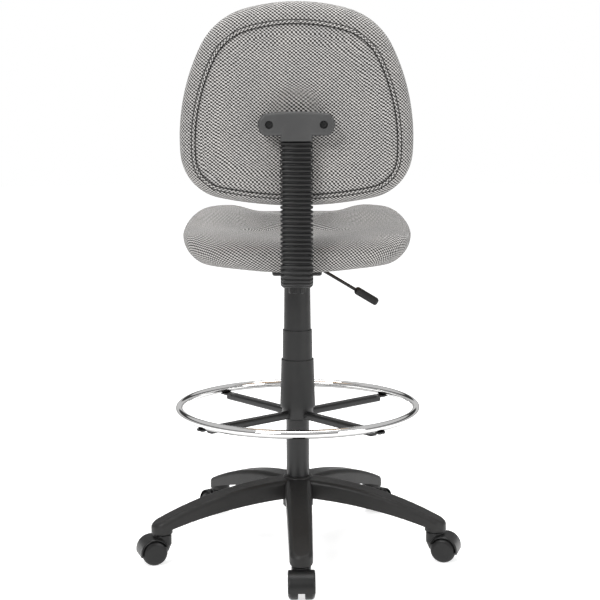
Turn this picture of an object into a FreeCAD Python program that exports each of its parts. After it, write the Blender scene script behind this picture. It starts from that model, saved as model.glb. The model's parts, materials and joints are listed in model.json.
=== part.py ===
"""Drafting chair: five-star base on twin-wheel casters, gas column with a telescoping cover,
foot ring, upholstered seat, and a backrest on a flat steel bar inside a bellows boot.

Millimetres, +Z up. The origin is on the floor, on the axis of the column. The sitter faces -Y,
and the lever is under the sitter's right hand, on the -X side.
"""
import FreeCAD, Part
import math
import os
import Sketcher
from FreeCAD import Placement, Rotation, Vector

# Driving dimensions: name, millimetres (or degrees), meaning.
DIMENSIONS = (
    # Column and gas lift
    ("column_rad", 25, "steel column, outer radius"),
    ("column_wall", 2, "steel column, wall"),
    ("column_foot", 94, "column, lower end"),
    ("column_head", 514, "column, upper end"),
    ("foot_plate", 3, "column, thickness of its floor"),
    ("taper_start", 162, "height where the column starts to taper into the base"),
    ("taper_rad", 23.5, "column radius at its lower end"),
    ("gas_rad", 14, "pressure tube, outer radius"),
    ("gas_wall", 1.5, "pressure tube, wall"),
    ("gas_low", 224, "pressure tube, lower end with the seat as drawn"),
    ("gas_cone", 554, "start of the cone that carries the seat"),
    ("gas_top", 616, "top of the cone"),
    ("cone_rad", 13.1, "radius at the top of the cone"),
    ("rod_rad", 5, "piston rod radius"),
    ("piston_low", 306, "underside of the piston"),
    ("pin_rad", 4, "release pin radius"),
    ("pin_top", 622, "top of the release pin"),
    ("slide_gap", 0.05, "radial clearance of a running fit"),
    # Telescoping cover
    ("sleeve_wall", 1.5, "wall of the cover sleeves"),
    ("lower_sleeve_low", 318, "lower sleeve, lower end"),
    ("lower_sleeve_top", 419.5, "lower sleeve, upper end"),
    ("lower_sleeve_rad", 35, "lower sleeve, radius at the top"),
    ("middle_sleeve_low", 373.5, "middle sleeve, lower end"),
    ("middle_sleeve_top", 483.5, "middle sleeve, upper end"),
    ("middle_sleeve_rad", 31.5, "middle sleeve, radius at the top"),
    ("upper_sleeve_low", 436, "upper sleeve, lower end"),
    ("upper_sleeve_top", 589, "upper sleeve, upper end"),
    ("upper_sleeve_rad", 27.75, "upper sleeve, radius at the top"),
    # Star base
    ("caster_circle", 305, "distance of each caster stem from the column"),
    ("first_arm", 91.2, "degrees, direction of the first arm"),
    ("root_half", 29, "half width of an arm at the hub"),
    ("tip_rad", 23.5, "radius of the rounded arm tip"),
    ("tip_floor", 64, "underside of the arm tip"),
    ("crown_height", 159, "top of the arm, run back to the axis"),
    ("crown_curve", 750, "radius of the arm's curved top line"),
    ("belly_height", 119.5, "underside of the arm, run back to the axis"),
    ("belly_curve", 960, "radius of the arm's curved lower line"),
    ("arm_round", 10, "rounding of the arm's upper edges"),
    ("arm_wall", 4, "wall of the hollow arm"),
    ("boss_rad", 22, "boss under the arm tip, radius"),
    ("boss_height", 14, "boss under the arm tip, height"),
    ("hub_rad", 33, "hub, outer radius"),
    ("hub_top", 162, "hub, top"),
    ("insert_wall", 3, "steel ring pressed into the hub"),
    ("insert_foot", 4, "steel ring, lower end above the column's foot"),
    ("insert_drop", 8, "steel ring, upper end below the hub's top"),
    ("hub_gap", 0.1, "clearance of the column in the hub's top"),
    # Casters
    ("wheel_rad", 27, "wheel radius"),
    ("wheel_inner", 7, "inner face of a wheel from the middle plane"),
    ("wheel_width", 20, "width of one wheel"),
    ("caster_trail", 21, "axle behind the stem"),
    ("axle_rad", 3.5, "axle radius"),
    ("stem_rad", 5.5, "caster stem radius"),
    ("stem_top", 82, "top of the stem"),
    ("socket_rad", 7.5, "socket bush, outer radius"),
    ("socket_top", 85, "top of the socket bush"),
    ("hood_rad", 31, "hood, outer radius"),
    ("hood_inner", 28.2, "hood, inner radius over the wheels"),
    ("hood_neck", 19.5, "radius of the block that holds the stem"),
    ("hood_top", 62, "top of the stem block"),
    ("hood_block", 40, "underside of the stem block"),
    ("hood_chin", 24, "lower end of the cone under the block"),
    ("hood_tail", 11, "degrees below level where the hood ends behind"),
    ("hood_nose", 152, "degrees above level, seen from behind, where the hood meets the block"),
    ("hood_gap", 0.5, "gap between the hood's web and a wheel"),
    # Foot ring
    ("ring_rad", 256, "foot ring, centre line radius"),
    ("ring_tube", 9, "foot ring, tube radius"),
    ("ring_height", 314, "foot ring, centre line height"),
    ("spoke_turn", 40.5, "degrees, direction of the first spoke"),
    ("spoke_width", 22, "spoke, width"),
    ("spoke_height", 15, "spoke, height"),
    ("spoke_low", 292, "underside of the spokes"),
    ("tab_width", 24, "flattened end of a spoke, width"),
    ("tab_plate", 3, "flattened end of a spoke, thickness"),
    ("collar_rad", 34, "spoke collar, outer radius"),
    ("collar_low", 290, "spoke collar, lower end"),
    ("set_screw_rad", 3, "collar set screw, radius"),
    ("set_screw_rise", 8, "set screws above the collar's lower end"),
    ("ring_screw_rad", 2.5, "spoke screw, shank radius"),
    ("screw_head_rad", 5.5, "spoke and bracket screws, head radius"),
    ("tip_slope", 36, "length over which a spoke thins out to its tab"),
    # Seat carrier
    ("pan_half", 51, "seat mechanism, half width"),
    ("pan_front", -100, "seat mechanism, front end"),
    ("pan_rear", 130, "seat mechanism, rear end"),
    ("pan_low", 598, "seat mechanism, underside"),
    ("pan_step", 615, "underside of the mechanism's wide upper part"),
    ("keel_half", 31, "half width of its deep middle part"),
    ("pan_sheet", 2.5, "seat mechanism, sheet thickness"),
    ("pan_hub_rad", 22, "hub for the gas cone, radius"),
    ("flange_reach", 74, "bolt flange, half width"),
    ("guide_front", 70, "front end of the bar's guide"),
    ("guide_wall", 6, "wall of the bar's guide"),
    ("board_low", 634, "underside of the seat board"),
    ("board_plate", 12, "plywood thickness"),
    ("bolt_across", 60, "seat bolts, half spacing across"),
    ("bolt_front", -75, "front pair of seat bolts"),
    ("bolt_rear", 75, "rear pair of seat bolts"),
    ("bolt_rad", 3, "seat bolt shank radius"),
    ("arm_hole_across", 150, "armrest holes, distance from the middle"),
    ("arm_hole_front", -20, "front armrest hole"),
    ("arm_hole_pitch", 100, "armrest holes, spacing front to back"),
    ("arm_hole_rad", 3.3, "armrest hole radius"),
    # Lever
    ("lever_rad", 3.5, "lever rod radius"),
    ("lever_height", 626.5, "centre line of the lever's inner run"),
    ("lever_pivot_x", -35, "lever pivot, across"),
    ("lever_reach", 3.5, "inner end of the lever, past the column's axis"),
    ("pivot_rad", 2.5, "lever pivot pin radius"),
    ("lever_eye", 6, "eye around the pivot pin, radius"),
    ("lever_slope", 31, "degrees, fall of the lever's outer run"),
    ("lever_run", 158, "length of the sloping run"),
    ("handle_length", 56, "lever handle, length"),
    ("handle_width", 16.5, "lever handle, height"),
    ("handle_depth", 20, "lever handle, width"),
    ("handle_round", 6, "lever handle, rounding"),
    # Seat cushion
    ("seat_rear", 205, "rear edge of the seat"),
    ("seat_low", 632, "underside of the seat cushion"),
    ("seat_high", 732, "top of the seat cushion"),
    ("seat_inset", 68, "board edge inside the cushion edge"),
    ("seat_crown", 38, "rounding of the seat's upper edge"),
    ("seat_under", 34, "rounding of its lower edge"),
    # Back bar and boot
    ("bar_width", 48, "back bar, width"),
    ("bar_plate", 6, "back bar, thickness"),
    ("bar_front", 60, "front end of the back bar"),
    ("bar_level", 615, "middle of the bar's level run"),
    ("bar_back", 252, "middle of the bar's upright run"),
    ("bar_bend", 40, "bend radius of the bar"),
    ("bar_top", 945, "upper end of the bar"),
    ("boot_width", 64, "bellows boot, width"),
    ("boot_depth", 26, "bellows boot, depth"),
    ("boot_front", 160, "front end of the boot"),
    ("boot_top", 892.5, "upper end of the boot"),
    ("knob_y", 110, "depth knob, distance behind the column"),
    ("knob_rad", 18, "depth knob radius"),
    ("knob_plate", 14, "depth knob, thickness"),
    ("knob_low", 578, "depth knob, lower face"),
    ("stud_rad", 4, "knob stud radius"),
    # Backrest
    ("back_curve", 900, "radius of the backrest's rear face, seen from above"),
    ("back_rear", 232, "rearmost point of the rear panel"),
    ("back_top", 1161, "top of the backrest"),
    ("back_thick", 72, "backrest thickness"),
    ("panel_plate", 6, "upholstered rear panel, thickness"),
    ("panel_inset", 30, "rear panel, edge inside the cushion's edge"),
    ("panel_drop", 11, "rear panel, middle below the cushion's"),
    ("back_board_inset", 22, "back board, edge inside the cushion's edge"),
    ("back_board_drop", 4, "back board, middle below the cushion's"),
    ("cushion_lip", 1.5, "cushion's rear edge in front of the panel's face"),
    ("bracket_half", 74, "bracket, half width of the head"),
    ("bracket_low", 903, "underside of the bracket's head"),
    ("bracket_top", 949, "top of the bracket"),
    ("bracket_arch", 500, "radius of the bracket's arched top"),
    ("bracket_end", 14, "rounding of the head's ends, in height"),
    ("bracket_round", 6, "rounding of the bracket's rear edges"),
    ("bracket_rear", 271, "rear face of the bracket"),
    ("neck_half", 31, "half width of the bracket's neck"),
    ("screw_across", 52.5, "bracket screws, distance from the middle"),
    ("screw_height", 924, "height of the bracket screws"),
    ("back_screw_rad", 3, "bracket screw, shank radius"),
    ("recess_rad", 7.75, "screw recess radius"),
    ("recess_depth", 12, "screw recess depth"),
)

ARMS = 5
QUARTERS = 4
FAR = 400    # longer than any reach of a part, for cuts that go right through

doc = FreeCAD.newDocument("DraftingChair")
sheet = doc.addObject("Spreadsheet::Sheet", "Sizes")
nodes = []


class Size(float):
    """A number from the sheet that keeps the formula it came from, so that it can be bound."""

    def __new__(cls, number, formula):
        size = float.__new__(cls, number)
        size.formula = formula
        return size

    def combine(self, other, sign, number, swapped=False):
        mine, theirs = self.formula, getattr(other, "formula", repr(float(other)))
        if swapped:
            mine, theirs = theirs, mine
        return Size(number, "(%s %s %s)" % (mine, sign, theirs))

    def __add__(self, other):
        return self.combine(other, "+", float(self) + float(other))

    def __radd__(self, other):
        return self.combine(other, "+", float(other) + float(self), swapped=True)

    def __sub__(self, other):
        return self.combine(other, "-", float(self) - float(other))

    def __rsub__(self, other):
        return self.combine(other, "-", float(other) - float(self), swapped=True)

    def __mul__(self, other):
        return self.combine(other, "*", float(self) * float(other))

    def __rmul__(self, other):
        return self.combine(other, "*", float(other) * float(self), swapped=True)

    def __truediv__(self, other):
        return self.combine(other, "/", float(self) / float(other))

    def __neg__(self):
        return Size(-float(self), "(0 - %s)" % self.formula)


class Dimensions:
    """The sheet's cells as attributes."""

    def __init__(self):
        for row, (alias, number, meaning) in enumerate(DIMENSIONS, start=1):
            sheet.set("A%d" % row, meaning)
            sheet.set("B%d" % row, str(number))
            sheet.setAlias("B%d" % row, alias)
            setattr(self, alias, Size(number, "Sizes." + alias))
        doc.recompute()


dim = Dimensions()


# ---------------------------------------------------------------- helpers

def bind(item, prop, size):
    """Give a property its size: bound to the sheet where the size came from the sheet."""
    if isinstance(size, Size):
        item.setExpression(prop, size.formula)
    else:
        item.setExpression(prop, repr(float(size)))


def place(item, x=0, y=0, z=0, rotation=None):
    """Move an item; each coordinate may come from the sheet."""
    item.Placement = Placement(Vector(0, 0, 0), rotation or Rotation())
    for axis, size in zip("xyz", (x, y, z)):
        if float(size):
            bind(item, "Placement.Base." + axis, size)
    return item


AXIS_TURN = {
    "X": Rotation(Vector(0, 1, 0), 90),
    "Y": Rotation(Vector(1, 0, 0), -90),
    "Z": Rotation(),
}


def cylinder(name, radius, low, high, at=(0, 0), axis="Z"):
    """A cylinder along an axis from low to high; at holds the other two coordinates."""
    item = doc.addObject("Part::Cylinder", name)
    bind(item, "Radius", radius)
    bind(item, "Height", high - low)
    spot = list(at)
    spot.insert("XYZ".index(axis), low)
    return place(item, *spot, rotation=AXIS_TURN[axis])


def box(name, x, y, z):
    """A box given by its low and high coordinate along each axis."""
    item = doc.addObject("Part::Box", name)
    for prop, (low, high) in zip(("Length", "Width", "Height"), (x, y, z)):
        bind(item, prop, high - low)
    return place(item, x[0], y[0], z[0])


def fuse(name, *items):
    item = doc.addObject("Part::MultiFuse", name)
    item.Shapes = items
    return item


def cut(name, base, *tools):
    item = doc.addObject("Part::Cut", name)
    item.Base = base
    item.Tool = tools[0] if len(tools) == 1 else fuse(name + "_tools", *tools)
    return item


def common(name, *items):
    item = doc.addObject("Part::MultiCommon", name)
    item.Shapes = items
    return item


def group(name, items):
    item = doc.addObject("Part::Compound", name)
    item.Links = items
    return item


def rounded(name, base, radius, pick):
    """Round the edges of a Part object that the test picks."""
    doc.recompute()
    item = doc.addObject("Part::Fillet", name)
    item.Base = base
    item.Edges = [(k, float(radius), float(radius))
                  for k, edge in enumerate(base.Shape.Edges, start=1) if pick(edge)]
    return item


def middle(edge):
    return edge.valueAt((edge.FirstParameter + edge.LastParameter) / 2)


def node(item, label):
    """Name a finished sub-part; the label is also its file's name."""
    item.Label = label
    nodes.append(item)
    return item


def new_body(name):
    body = doc.addObject("PartDesign::Body", name)
    doc.recompute()
    return body


def origin_plane(body, role):
    return next(f for f in body.Origin.OriginFeatures if f.Role == role)


def new_sketch(body, name, role, offset=0):
    """A sketch on one of the body's own origin planes, moved along the plane's normal."""
    sketch = body.newObject("Sketcher::SketchObject", name)
    sketch.AttachmentSupport = (origin_plane(body, role), [""])
    sketch.MapMode = "FlatFace"
    if float(offset):
        bind(sketch, "AttachmentOffset.Base.z", offset)
    return sketch


def constrain(sketch, kind, *where, size=None):
    """Add one constraint; a size from the sheet drives it."""
    if size is None:
        return sketch.addConstraint(Sketcher.Constraint(kind, *where))
    index = sketch.addConstraint(Sketcher.Constraint(kind, *where, float(size)))
    if isinstance(size, Size):
        sketch.setExpression("Constraints[%d]" % index, size.formula)
    return index


def locate(sketch, curve, end, u, v):
    """Fix one end of a curve at sketch coordinates u, v, measured from the sketch's origin."""
    for kind, size, axis in (("DistanceX", u, -2), ("DistanceY", v, -1)):
        if float(size):
            constrain(sketch, kind, -1, 1, curve, end, size=size)
        else:
            constrain(sketch, "PointOnObject", curve, end, axis)


def draw_polygon(sketch, outline):
    """A closed outline of straight lines, every corner fixed by its own dimensions."""
    count = len(outline)
    for k, corner in enumerate(outline):
        start, end = Vector(*corner, 0), Vector(*outline[(k + 1) % count], 0)
        sketch.addGeometry(Part.LineSegment(start, end), False)
    for k in range(count):
        constrain(sketch, "Coincident", k, 2, (k + 1) % count, 1)
    for k, corner in enumerate(outline):
        locate(sketch, k, 1, *corner)


def revolved(name, outline):
    """A turned body: the outline holds radius, height pairs."""
    body = new_body(name)
    sketch = new_sketch(body, name + "_profile", "XZ_Plane")
    draw_polygon(sketch, outline)
    turn = body.newObject("PartDesign::Revolution", name + "_turn")
    turn.Profile = sketch
    turn.ReferenceAxis = (sketch, ["V_Axis"])
    turn.Angle = 360
    return body


def tube(name, bottom, top, low, high, wall):
    """A turned sleeve, its outer radius running from bottom to top."""
    return revolved(name, ((bottom - wall, low), (bottom, low), (top, high), (top - wall, high)))


def smooth_outline(radii, turns, start, inset=0):
    """Closed outline of arcs that run into each other, the same left and right of the v axis.

    The first arc starts at (0, start) and heads along +u; each arc turns clockwise. The last arc
    closes the half outline on the axis, so its radius follows from the others.
    """
    heading, point, arcs = 0.0, Vector(0, start, 0), []
    for k, turn in enumerate(turns):
        angle = math.radians(turn)
        last = k == len(turns) - 1
        radius = point.x / math.sin(angle) if last else float(radii[k])
        centre = point - Vector(math.sin(heading), math.cos(heading), 0) * radius
        first, heading = math.pi / 2 - heading, heading + angle
        final = math.pi / 2 - heading
        point = centre + Vector(math.sin(heading), math.cos(heading), 0) * radius
        circle = Part.Circle(centre, Vector(0, 0, 1), radius - inset)
        mirrored = Part.Circle(Vector(-centre.x, centre.y, 0), Vector(0, 0, 1), radius - inset)
        if k == 0:
            arcs.append(Part.ArcOfCircle(circle, final, math.pi - final))
        elif last:
            arcs.append(Part.ArcOfCircle(circle, math.pi - first, 2 * math.pi + first))
        else:
            arcs.append(Part.ArcOfCircle(circle, final, first))
            arcs.append(Part.ArcOfCircle(mirrored, math.pi - first, math.pi - final))
    return arcs


def check_volume(item, smallest, largest):
    """Stop if a cut went the wrong way or took too much."""
    doc.recompute()
    volume = item.Shape.Volume
    if not smallest < volume < largest:
        raise ValueError("%s has %.0f mm3" % (item.Label, volume))


# ---------------------------------------------------------------- star base

def column_radius(height):
    """Outer radius of the column's tapered foot at a height."""
    share = (height - dim.column_foot) / (dim.taper_start - dim.column_foot)
    return dim.taper_rad + (dim.column_rad - dim.taper_rad) * share


def insert_span():
    """Lower and upper end of the steel ring between the hub and the column."""
    return dim.column_foot + dim.insert_foot, dim.hub_top - dim.insert_drop


def trim_arm(body, name, height, curve, limit):
    """Cut an arm along an arc in the side view, on the side of the arc that limit is on."""
    start, end = -20, FAR
    arc_centre = float(height - curve)
    rise = [arc_centre + math.sqrt(float(curve) ** 2 - float(x) ** 2) for x in (start, end)]
    sketch = new_sketch(body, name + "_line", "XZ_Plane")
    circle = Part.Circle(Vector(0, arc_centre, 0), Vector(0, 0, 1), float(curve))
    angles = [math.atan2(z - arc_centre, x) for x, z in zip((end, start), (rise[1], rise[0]))]
    corners = ((start, rise[0]), (start, limit), (end, limit), (end, rise[1]))
    sketch.addGeometry(Part.ArcOfCircle(circle, *angles), False)
    for k in range(3):
        sketch.addGeometry(Part.LineSegment(Vector(*corners[k], 0), Vector(*corners[k + 1], 0)), False)
    for k in range(4):
        constrain(sketch, "Coincident", k, 2, (k + 1) % 4, 1)
    constrain(sketch, "Vertical", 1)
    constrain(sketch, "Horizontal", 2)
    constrain(sketch, "Vertical", 3)
    constrain(sketch, "PointOnObject", 0, 3, -2)
    constrain(sketch, "Radius", 0, size=curve)
    constrain(sketch, "DistanceY", -1, 1, 0, 3, size=height - curve)
    constrain(sketch, "DistanceX", -1, 1, 1, 1, size=start)
    constrain(sketch, "DistanceX", -1, 1, 2, 2, size=end)
    constrain(sketch, "DistanceY", -1, 1, 1, 2, size=limit)
    pocket = body.newObject("PartDesign::Pocket", name)
    pocket.Profile = sketch
    pocket.Type = "ThroughAll"
    pocket.SideType = "Symmetric"


def arm_plan(body):
    """The arm seen from above: two straight sides that run into a round tip."""
    root = 8
    half, tip, reach = float(dim.root_half), float(dim.tip_rad), float(dim.caster_circle)
    sketch = new_sketch(body, "arm_plan", "XY_Plane", dim.tip_floor)
    circle = Part.Circle(Vector(reach, 0, 0), Vector(0, 0, 1), tip)
    sketch.addGeometry(Part.LineSegment(Vector(root, -half, 0), Vector(reach, -tip, 0)), False)
    sketch.addGeometry(Part.ArcOfCircle(circle, -math.pi / 2, math.pi / 2), False)
    sketch.addGeometry(Part.LineSegment(Vector(reach, tip, 0), Vector(root, half, 0)), False)
    sketch.addGeometry(Part.LineSegment(Vector(root, half, 0), Vector(root, -half, 0)), False)
    constrain(sketch, "Tangent", 0, 2, 1, 1)
    constrain(sketch, "Tangent", 1, 2, 2, 1)
    constrain(sketch, "Coincident", 2, 2, 3, 1)
    constrain(sketch, "Coincident", 3, 2, 0, 1)
    constrain(sketch, "PointOnObject", 1, 3, -1)
    constrain(sketch, "DistanceX", -1, 1, 1, 3, size=dim.caster_circle)
    constrain(sketch, "Radius", 1, size=dim.tip_rad)
    constrain(sketch, "Symmetric", 2, 2, 0, 1, -1)
    constrain(sketch, "DistanceX", -1, 1, 0, 1, size=root)
    constrain(sketch, "DistanceY", 0, 1, 2, 2, size=dim.root_half * 2)
    return sketch


def add_circle_feature(body, name, kind, spot, radius, start, length):
    """Pad up, or pocket down, a circle at (spot, 0) from the height start."""
    sketch = new_sketch(body, name + "_circle", "XY_Plane", start)
    sketch.addGeometry(Part.Circle(Vector(spot, 0, 0), Vector(0, 0, 1), float(radius)), False)
    constrain(sketch, "PointOnObject", 0, 3, -1)
    constrain(sketch, "DistanceX", -1, 1, 0, 3, size=spot)
    constrain(sketch, "Radius", 0, size=radius)
    feature = body.newObject("PartDesign::" + kind, name)
    feature.Profile = sketch
    bind(feature, "Length", length)
    return feature


def star_base():
    """Nylon base: one hollow arm, repeated five times, and a hub around them."""
    body = new_body("star_base")
    pad = body.newObject("PartDesign::Pad", "arm_block")
    pad.Profile = arm_plan(body)
    bind(pad, "Length", dim.crown_height)
    trim_arm(body, "arm_top", dim.crown_height, dim.crown_curve, dim.crown_height + 100)
    trim_arm(body, "arm_belly", dim.belly_height, dim.belly_curve, 10)
    doc.recompute()
    block = body.Tip

    crown_centre = Vector(0, 0, float(dim.crown_height - dim.crown_curve))

    def on_crown(edge):
        spot = middle(edge)
        distance = math.hypot(spot.x, spot.z - crown_centre.z)
        return abs(distance - dim.crown_curve) < 0.5 and spot.x > 9
    fillet = body.newObject("PartDesign::Fillet", "arm_rounding")
    edges = enumerate(block.Shape.Edges, start=1)
    fillet.Base = (block, ["Edge%d" % k for k, edge in edges if on_crown(edge)])
    bind(fillet, "Radius", dim.arm_round)
    doc.recompute()

    def open_below(face):
        flat_tip = abs(face.CenterOfMass.z - dim.tip_floor) < 0.1
        centre = face.CenterOfMass
        belly = face.Area > 10000 and abs(centre.y) < 1 and centre.z < dim.belly_height - 5
        return flat_tip or belly
    shell = body.newObject("PartDesign::Thickness", "arm_shell")
    faces = enumerate(fillet.Shape.Faces, start=1)
    shell.Base = (fillet, ["Face%d" % k for k, face in faces if open_below(face)])
    bind(shell, "Value", dim.arm_wall)
    shell.Reversed = True
    add_circle_feature(body, "tip_boss", "Pad", dim.caster_circle, dim.boss_rad,
                       dim.tip_floor, dim.boss_height)
    add_circle_feature(body, "socket_block", "Pad", dim.caster_circle, dim.socket_rad + 5,
                       dim.tip_floor, dim.socket_top + 1 - dim.tip_floor)
    spread = body.newObject("PartDesign::PolarPattern", "five_arms")
    spread.TransformMode = "Whole shape"
    spread.Axis = (origin_plane(body, "Z_Axis"), [""])
    spread.Angle = 360
    spread.Occurrences = ARMS
    body.Tip = spread
    doc.recompute()

    hub = new_sketch(body, "hub_profile", "XZ_Plane")
    foot, top, outer = dim.column_foot, dim.hub_top, dim.hub_rad
    low, high = insert_span()
    bore_low = column_radius(low) + dim.insert_wall
    bore_high = column_radius(high) + dim.insert_wall
    neck = dim.column_rad + dim.hub_gap
    draw_polygon(hub, (
        (bore_low, low), (bore_low - 1.5, foot), (outer - 2, foot), (outer, foot + 2), (outer, top - 5),
        (outer - 1.5, top - 1.5), (outer - 4.5, top), (neck, top), (neck, high), (bore_high, high)))
    ring = body.newObject("PartDesign::Revolution", "hub")
    ring.Profile = hub
    ring.ReferenceAxis = (hub, ["V_Axis"])
    ring.Angle = 360

    well = new_sketch(body, "well_profile", "XZ_Plane")
    draw_polygon(well, (
        (0, foot - 60), (bore_low - 1.5, foot - 60), (bore_low - 1.5, foot), (bore_low, low),
        (bore_high, high), (neck, high), (neck, top + 60), (0, top + 60)))
    groove = body.newObject("PartDesign::Groove", "well")
    groove.Profile = well
    groove.ReferenceAxis = (well, ["V_Axis"])
    groove.Angle = 360
    bore = add_circle_feature(body, "socket_bore", "Pocket", dim.caster_circle, dim.socket_rad,
                              dim.socket_top, dim.socket_top - dim.tip_floor + 5)
    bores = body.newObject("PartDesign::PolarPattern", "five_bores")
    bores.Originals = [bore]
    bores.Axis = (origin_plane(body, "Z_Axis"), [""])
    bores.Angle = 360
    bores.Occurrences = ARMS
    body.Tip = bores
    body.Placement = Placement(Vector(), Rotation(Vector(0, 0, 1), float(dim.first_arm)))
    body.setExpression("Placement.Rotation.Angle", dim.first_arm.formula)
    check_volume(body, 700e3, 1400e3)
    return node(body, "star_base")


def caster_spot(index):
    """Turn and position of a caster stem under its arm."""
    return Rotation(Vector(0, 0, 1), float(dim.first_arm) + index * 360 / ARMS)


def hub_insert():
    low, high = insert_span()
    inner, outer = column_radius(low), column_radius(high)
    wall = dim.insert_wall
    node(revolved("hub_insert", ((inner, low), (inner + wall, low), (outer + wall, high), (outer, high))),
         "hub_insert")


def caster_sockets():
    """Five bushes, one in each arm tip."""
    bushes = []
    for index in range(ARMS):
        shell = cylinder("bush_%d" % index, dim.socket_rad, dim.tip_floor, dim.socket_top,
                         (dim.caster_circle, 0))
        bore = cylinder("bush_bore_%d" % index, dim.stem_rad + dim.slide_gap, dim.tip_floor - 1,
                        dim.socket_top - 2, (dim.caster_circle, 0))
        bush = cut("bush_cut_%d" % index, shell, bore)
        bush.Placement = Placement(Vector(), caster_spot(index))
        bushes.append(bush)
    node(group("caster_sockets", bushes), "caster_sockets")


# ---------------------------------------------------------------- casters

def seat_caster(item, index):
    """Put a caster piece, modelled with its stem on the z axis, under its arm."""
    turn = caster_spot(index)
    item.Placement = Placement(turn.multVec(Vector(float(dim.caster_circle), 0, 0)), turn)
    return item


def caster_hood(index):
    """Hood over both wheels, with the block that holds the stem; it trails along +x."""
    name = "caster_hood_%d" % (index + 1)
    full, gap = dim.wheel_inner + dim.wheel_width, dim.wheel_inner - dim.hood_gap
    centre = (dim.caster_trail, dim.wheel_rad)
    cover = doc.addObject("Part::Cylinder", name + "_cover")
    bind(cover, "Radius", dim.hood_rad)
    bind(cover, "Height", full * 2)
    bind(cover, "Angle", dim.hood_tail + dim.hood_nose)
    turn = Rotation(Vector(0, 1, 0), float(dim.hood_tail)) * Rotation(Vector(1, 0, 0), 90)
    place(cover, centre[0], full, centre[1], turn)
    smooth = rounded(name + "_rim", cover, 3.5, lambda edge: edge.Curve.TypeId == "Part::GeomCircle")
    web = cylinder(name + "_web", dim.axle_rad + 12, -gap, gap, centre, "Y")
    block = cylinder(name + "_block", dim.hood_neck, dim.hood_block, dim.hood_top)

    def upper_rim(edge):
        return middle(edge).z > dim.hood_top - 1 and edge.Length > 90
    block_rim = rounded(name + "_block_rim", block, 3, upper_rim)
    chin = doc.addObject("Part::Cone", name + "_chin")
    bind(chin, "Radius1", dim.hood_neck - 7)
    bind(chin, "Radius2", dim.hood_neck)
    bind(chin, "Height", dim.hood_block - dim.hood_chin)
    place(chin, 0, 0, dim.hood_chin)
    wells = [cylinder(name + "_well_%d" % k, dim.hood_inner, low, high, centre, "Y")
             for k, (low, high) in enumerate(((gap, full + 5), (-(full + 5), -gap)))]
    stem_bore = cylinder(name + "_stem_bore", dim.stem_rad, stem_low(), dim.hood_top + 5)
    axle_bore = cylinder(name + "_axle_bore", dim.axle_rad, -FAR / 10, FAR / 10, centre, "Y")
    solid = fuse(name + "_solid", smooth, web, block_rim, chin)
    hood = cut(name, solid, *wells, stem_bore, axle_bore)
    node(seat_caster(hood, index), name)


def stem_low():
    """Lower end of a caster stem, inside the hood's block."""
    return dim.hood_top - 18


def caster_stem(index):
    """Steel stem with a flange above the hood and a groove for the socket's grip ring."""
    name = "caster_stem_%d" % (index + 1)
    top, stem, groove = dim.stem_top, dim.stem_rad, dim.stem_top - 6
    flange = dim.hood_top + 1.7
    low, shoulder = stem_low(), dim.hood_top
    outline = ((0, low), (stem, low), (stem, shoulder), (stem + 3.5, shoulder), (stem + 3.5, flange),
               (stem, flange), (stem, groove), (stem - 1, groove), (stem - 1, groove + 2),
               (stem, groove + 2), (stem, top - 1.5), (stem - 1.5, top), (0, top))
    node(seat_caster(revolved(name, outline), index), name)


def caster_axle(index):
    name = "caster_axle_%d" % (index + 1)
    half, radius = dim.wheel_inner + dim.wheel_width - 2.5, dim.axle_rad
    pin = revolved(name, ((0, -half), (radius, -half), (radius, half), (0, half)))
    turn = caster_spot(index)
    spot = Vector(float(dim.caster_circle + dim.caster_trail), 0, float(dim.wheel_rad))
    pin.Placement = Placement(turn.multVec(spot), turn * AXIS_TURN["Y"])
    node(pin, name)


def caster_wheel(index, side, label):
    """One wheel; side is +1 or -1 along the axle. Its face is domed and its tread is rounded."""
    name = "caster_wheel_%s_%d" % (label, index + 1)
    tread, width, bore = dim.wheel_rad, dim.wheel_width, dim.axle_rad + dim.slide_gap
    outline = ((0, width - 2.3), (0, width), (tread - 9, width), (tread - 7, width - 0.6),
               (tread - 3.5, width - 2), (tread - 1.2, width - 4.5), (tread, width - 7.5), (tread, 1.5),
               (tread - 1.5, 0), (tread - 5, 0), (tread - 5, 8), (bore + 4, 8), (bore + 4, 0), (bore, 0),
               (bore, width - 2.3))
    wheel = revolved(name, outline)
    turn = caster_spot(index)
    reach = float(dim.caster_circle + dim.caster_trail)
    spot = Vector(reach, float(side * dim.wheel_inner), float(dim.wheel_rad))
    wheel.Placement = Placement(turn.multVec(spot), turn * Rotation(Vector(1, 0, 0), -90 * side))
    node(wheel, name)


# ---------------------------------------------------------------- column and gas lift

def outer_column():
    inner = dim.column_rad - dim.column_wall
    foot, floor, head = dim.column_foot, dim.column_foot + dim.foot_plate, dim.column_head
    hole = dim.rod_rad - 1 + dim.slide_gap
    node(revolved("outer_column", (
        (hole, foot), (dim.taper_rad, foot), (dim.column_rad, dim.taper_start), (dim.column_rad, head),
        (inner, head), (inner, dim.taper_start), (dim.taper_rad - dim.column_wall, floor),
        (hole, floor))), "outer_column")


def column_guide():
    """Plastic bush in the top of the column, with a lip over its rim."""
    bore = dim.gas_rad + dim.slide_gap
    inner, lip = dim.column_rad - dim.column_wall, dim.column_rad - 0.3
    head, low = dim.column_head, dim.column_head - 120
    node(revolved("column_guide", (
        (bore, low), (inner, low), (inner, head), (lip, head), (lip, head + 1.2), (bore, head + 1.2))),
        "column_guide")


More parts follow.
